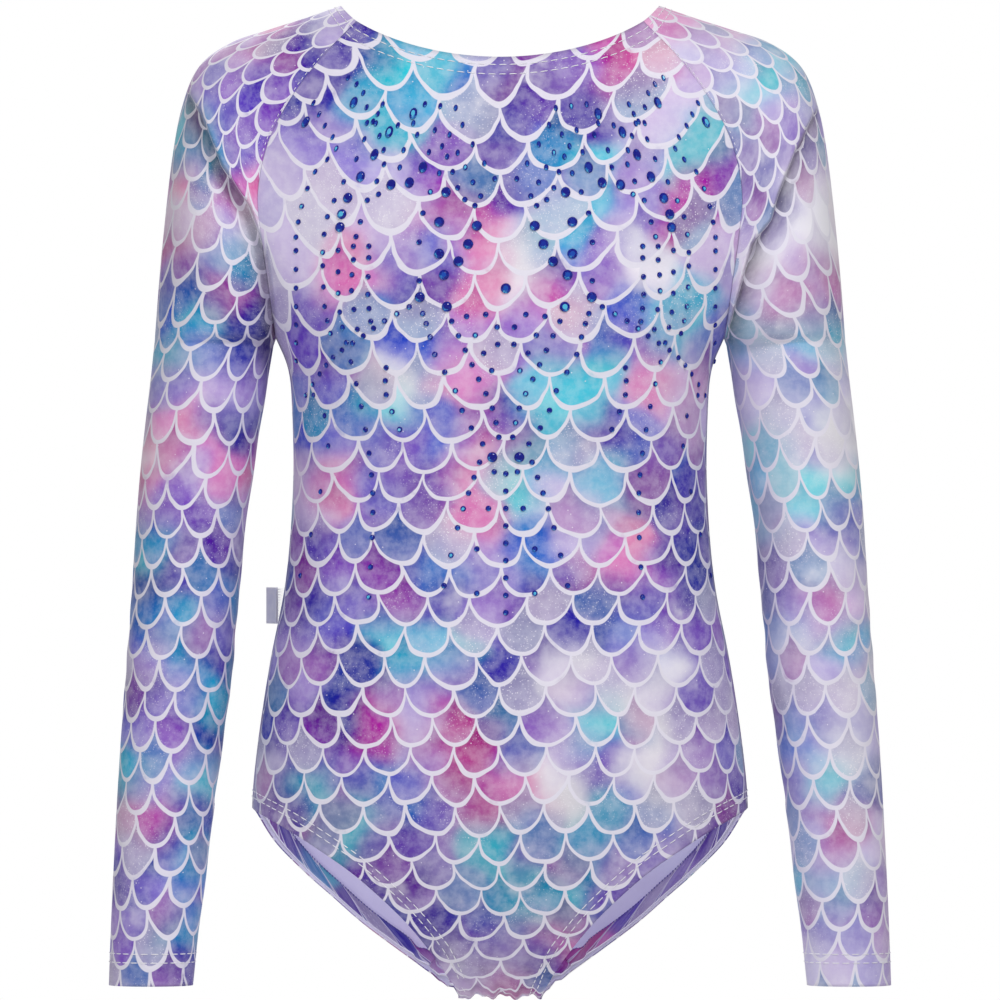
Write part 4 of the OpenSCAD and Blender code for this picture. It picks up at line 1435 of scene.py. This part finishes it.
loop_line = [(0.28, 1.0 + k * (label_l - 2)) for k in np.linspace(0, 1, 24)]
loop_line += [
    (0.28 * math.cos(turn), label_l - 1 + 0.9 * math.sin(turn))
    for turn in np.linspace(0.15, math.pi - 0.15, 9)
]
loop_line += [(-0.28, 1.0 + k * (label_l - 2)) for k in np.linspace(1, 0, 24)]
label_grid = []
for across, out in loop_line:
    column = []
    for share in np.linspace(-0.5, 0.5, 15):
        bow = 0.35 * math.sin(math.pi * out / label_l) * math.cos(2.6 * share)
        x = (across + bow) * math.cos(label_turn) - out * math.sin(label_turn)
        y = (across + bow) * math.sin(label_turn) + out * math.cos(label_turn)
        column.append((label_x + x, y, label_z - share * label_h))
    label_grid.append(column)
label_grid = np.array(label_grid)
label = cloth("care_label_satin", label_grid, label_thick, {"cloth": flat_map(label_grid)}, flip=True)
label.data.materials.append(satin)
label.data.materials.append(satin)
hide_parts("care_label")
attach(label, "care_label")

catch = []
for height in np.arange(-8.4, 8.5, 1.4):
    z = label_z + height
    x = -float(half_width(np.array(z)))
    ends = [
        (x + 0.4, -0.3, z - 0.5), (label_x - 0.1, -0.45, z),
        (label_x - 0.1, 0.5, z + 0.2), (x + 0.4, 0.4, z + 0.6),
    ]
    catch.append((ends, (-1, 0, 0)))
catch_piece = threads("label_catch_stitches", catch, 0.36, 0.36, white_thread)
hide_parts("label_stitching")
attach(catch_piece, "torso")

# ---- Elastics ----
# Soft knitted elastic tape inside the neck and leg hems, stitched down with the hem.

elastic_w = 6
hem_w = 10.5
cuff_hem_w = 18

tape_knit = bpy.data.materials.new("knitted_elastic")
tape_knit.use_nodes = True
tree = tape_knit.node_tree
shader = tree.nodes["Principled BSDF"]
place = node(tree, "ShaderNodeUVMap", uv_map="cloth").outputs[0]
knit_finish(tree, place, shader, 0.00015)
shade = from_to(tree, noise(tree, place, 300, 3.0)[0], 0.3, 0.7, 0.0, 1.0, False)
tape_colour = blend_colours(tree, shade, linear(226, 224, 232), linear(246, 245, 250))
tree.links.new(tape_colour, shader.inputs["Base Color"])


def worn(side, x, z):
    return body_wrinkles(fold_push(face(side, x, z)), side)


def leg_points(side, t, w):
    """Points on a panel, w from its leg edge along the cloth: t from crotch to side seam."""
    k = (t - t_crotch) / (1 - t_crotch)
    edge = front_leg if side < 0 else back_leg
    e = along(edge, k)
    d = along(edge, np.minimum(k + 0.02, 1)) - along(edge, np.maximum(k - 0.02, 0))
    low, high = np.minimum(k / 0.2, 1)[..., None], np.maximum((k - 0.8) / 0.2, 0)[..., None]
    n = np.stack([-d[..., 1], d[..., 0]], axis=-1) / np.linalg.norm(d, axis=-1)[..., None]
    n = mix(mix(np.array([-1.0, 0.0]), n, low), np.array([0.0, 1.0]), high)
    n /= np.linalg.norm(n, axis=-1, keepdims=True)
    p = e + w * (mix(0.6, 1, low) if side < 0 else mix(0.6, 1, k[..., None] ** 8)) * n
    z = np.maximum(p[..., 1], -body_h)
    return worn(side, np.minimum(p[..., 0], half_width(z)), z)


def leg_ring(w):
    """A ring round a leg opening, w inside its edge, from the crotch round and back to it."""
    low = np.linspace(t_crotch, 0.5, 60)[:-1]
    high = mix(0.5, 1, np.sin(np.linspace(0, math.pi / 2, 90)))
    t = np.concatenate([low, high])
    ring = np.concatenate([leg_points(-1, t, w), leg_points(1, t[-2::-1], w)])
    run = np.concatenate([[0], np.cumsum(np.linalg.norm(np.diff(ring, axis=0), axis=1))])
    even = np.linspace(0, run[-1], len(ring))
    return np.stack([np.interp(even, run, ring[:, i]) for i in range(3)], axis=1)


def neck_ring(w):
    """A closed ring round the neck, w below its edge, across the panels and both caps."""
    t = np.linspace(-1, 1, 151) * neck_seam_x
    k = np.linspace(-1, 1, 61)[1:-1]
    parts = []
    for side in (-1, 1):
        z = neck_edge_z(side, t) - w
        parts.append(worn(side, t * (1 + w / 260), z)[:: -side])
    cap = fold_push(cap_points(np.full_like(k, w / 215), k))
    ring = np.concatenate([parts[0], cap, parts[1], (cap * (-1, 1, 1))[::-1]])
    return np.concatenate([ring, ring[:1]])


def cuff_ring(w):
    return sleeve_folds(arm_points(1 - w / (cuff_h + arm_top), np.linspace(180, 540, 121)))


def band(ring, low, high, steps=7):
    """A band of cloth between two rings, as a grid."""
    return np.stack([ring(w) for w in np.linspace(low, high, steps)], axis=1)


def tape_piece(name, grid, node_name, way=1):
    tape = cloth(name, grid * (way, 1, 1), elastic_t, {"cloth": flat_map(grid)}, flip=way < 0)
    tape.data.materials.append(tape_knit)
    tape.data.materials.append(tape_knit)
    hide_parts(node_name)
    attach(tape, "torso")
    return tape


tape_piece(
    "neck_elastic_tape", sunk(band(neck_ring, 1.6, 1.6 + elastic_w), elastic_lift), "neck_elastic"
)
for side_name, way in (("left", 1), ("right", -1)):
    grid = sunk(band(leg_ring, 1.6 + elastic_w, 1.6), elastic_lift + 0.3)
    tape_piece(side_name + "_leg_elastic_tape", grid, side_name + "_leg_elastic", way)

# ---- Hems ----
# The edge of the neck, legs and cuffs, turned to the inside so that the print shows there.
# The raw edge is bound by the violet looper threads of the hemming machine.


def hem_piece(name, face_grid, lift, way, patches, knit, back, node_name, body, rows):
    """A turned-in hem: the printed side of its cloth faces in."""
    grid = sunk(face_grid, lift) * (way, 1, 1)
    dyes_and_shade = inked(grid, patches, 8.0)
    hem = cloth(
        name, grid, fabric, {"rows": rows, "cloth": flat_map(grid)}, dyes_and_shade,
        flip=way < 0, inside_first=True,
    )
    hem.data.materials.append(knit)
    hem.data.materials.append(back)
    inward = way_in(grid, way < 0)
    far, near = (0, 1) if node_name != "neck_hem" else (-1, -2)
    depth = (fabric + 0.25) * inward[:, far]
    wraps = loops(grid[:, far] + depth, grid[:, near] + depth, inward[:, far], 1.9, 0.1, 0.8)
    wraps = [(line, up) for line, up in wraps if body != "torso" or max(abs(p[0]) for p in line) < 116]
    join(hem, threads(name + "_looper", wraps, 0.5, 0.4, violet_thread))
    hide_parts(node_name)
    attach(hem, body)
    return hem


def ring_rows(grid, wide, high):
    """The print's map on a hem: along it and across it."""
    laid = flat_map(grid) / mm
    return np.stack([laid[..., 0] / wide, laid[..., 1] / high], axis=-1)


neck_cut = band(neck_ring, 0.4, hem_w, 9)
hem_piece(
    "neck_hem_cloth", neck_cut, hem_lift, 1, front_patches, body_knit, body_back,
    "neck_hem", "torso", ring_rows(neck_cut, 27, 18),
)
leg_cut = band(leg_ring, hem_w, 0.4, 9)
for side_name, way in (("left", 1), ("right", -1)):
    hem_piece(
        side_name + "_leg_hem_cloth", leg_cut, hem_lift, way, front_patches, body_knit, body_back,
        side_name + "_leg_hem", "torso", ring_rows(leg_cut, 23, 15) + (0.37 * way, 0),
    )
cuff_cut = band(cuff_ring, cuff_hem_w, 0.4, 12)
for side_name, way, patches in (("left", 1, left_sleeve_patches), ("right", -1, right_sleeve_patches)):
    hem_piece(
        side_name + "_cuff_hem_cloth", cuff_cut, fabric + layer_gap, way, patches, sleeve_knit,
        sleeve_back, side_name + "_cuff_hem", side_name + "_sleeve", ring_rows(cuff_cut, 19.6, 16.2),
    )

# ---- Hem stitching ----
# Two parallel rows of white twin-needle stitches on the face of every hem.

stitch_l = 4.0
stitch_pitch = 5.4
stitch_w = 0.55


def hem_stitches(name, ring, offsets, way, upward, node_name, body):
    """Rows of stitches along rings of points on the face; offsets are from the edge."""
    runs = []
    for w in offsets:
        step = 0.8 if upward else -0.8
        strip = np.stack([ring(w + step), ring(w), ring(w - step)], axis=1)
        strip = strip * (way, 1, 1)
        runs += dashes(strip[:, 1], -way_in(strip, way < 0)[:, 1], stitch_l, stitch_pitch, 0.22)
    rows = threads(name, runs, stitch_w, 0.42, white_thread)
    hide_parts(node_name)
    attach(rows, body)
    return rows


neck_rows = hem_stitches("neck_twin_stitches", neck_ring, (4.2, 9.2), 1, False, "neck_stitching", "torso")
for side_name, way in (("left", 1), ("right", -1)):
    hem_stitches(
        side_name + "_leg_twin_stitches", leg_ring, (6.3, 9.6), way, True,
        side_name + "_leg_stitching", "torso",
    )
    hem_stitches(
        side_name + "_cuff_twin_stitches", cuff_ring, (12.4, 17), way, True,
        side_name + "_cuff_stitching", side_name + "_sleeve",
    )

# ---- Bounds ----
# The corners of the box round every shown part but the floor.

low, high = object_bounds()
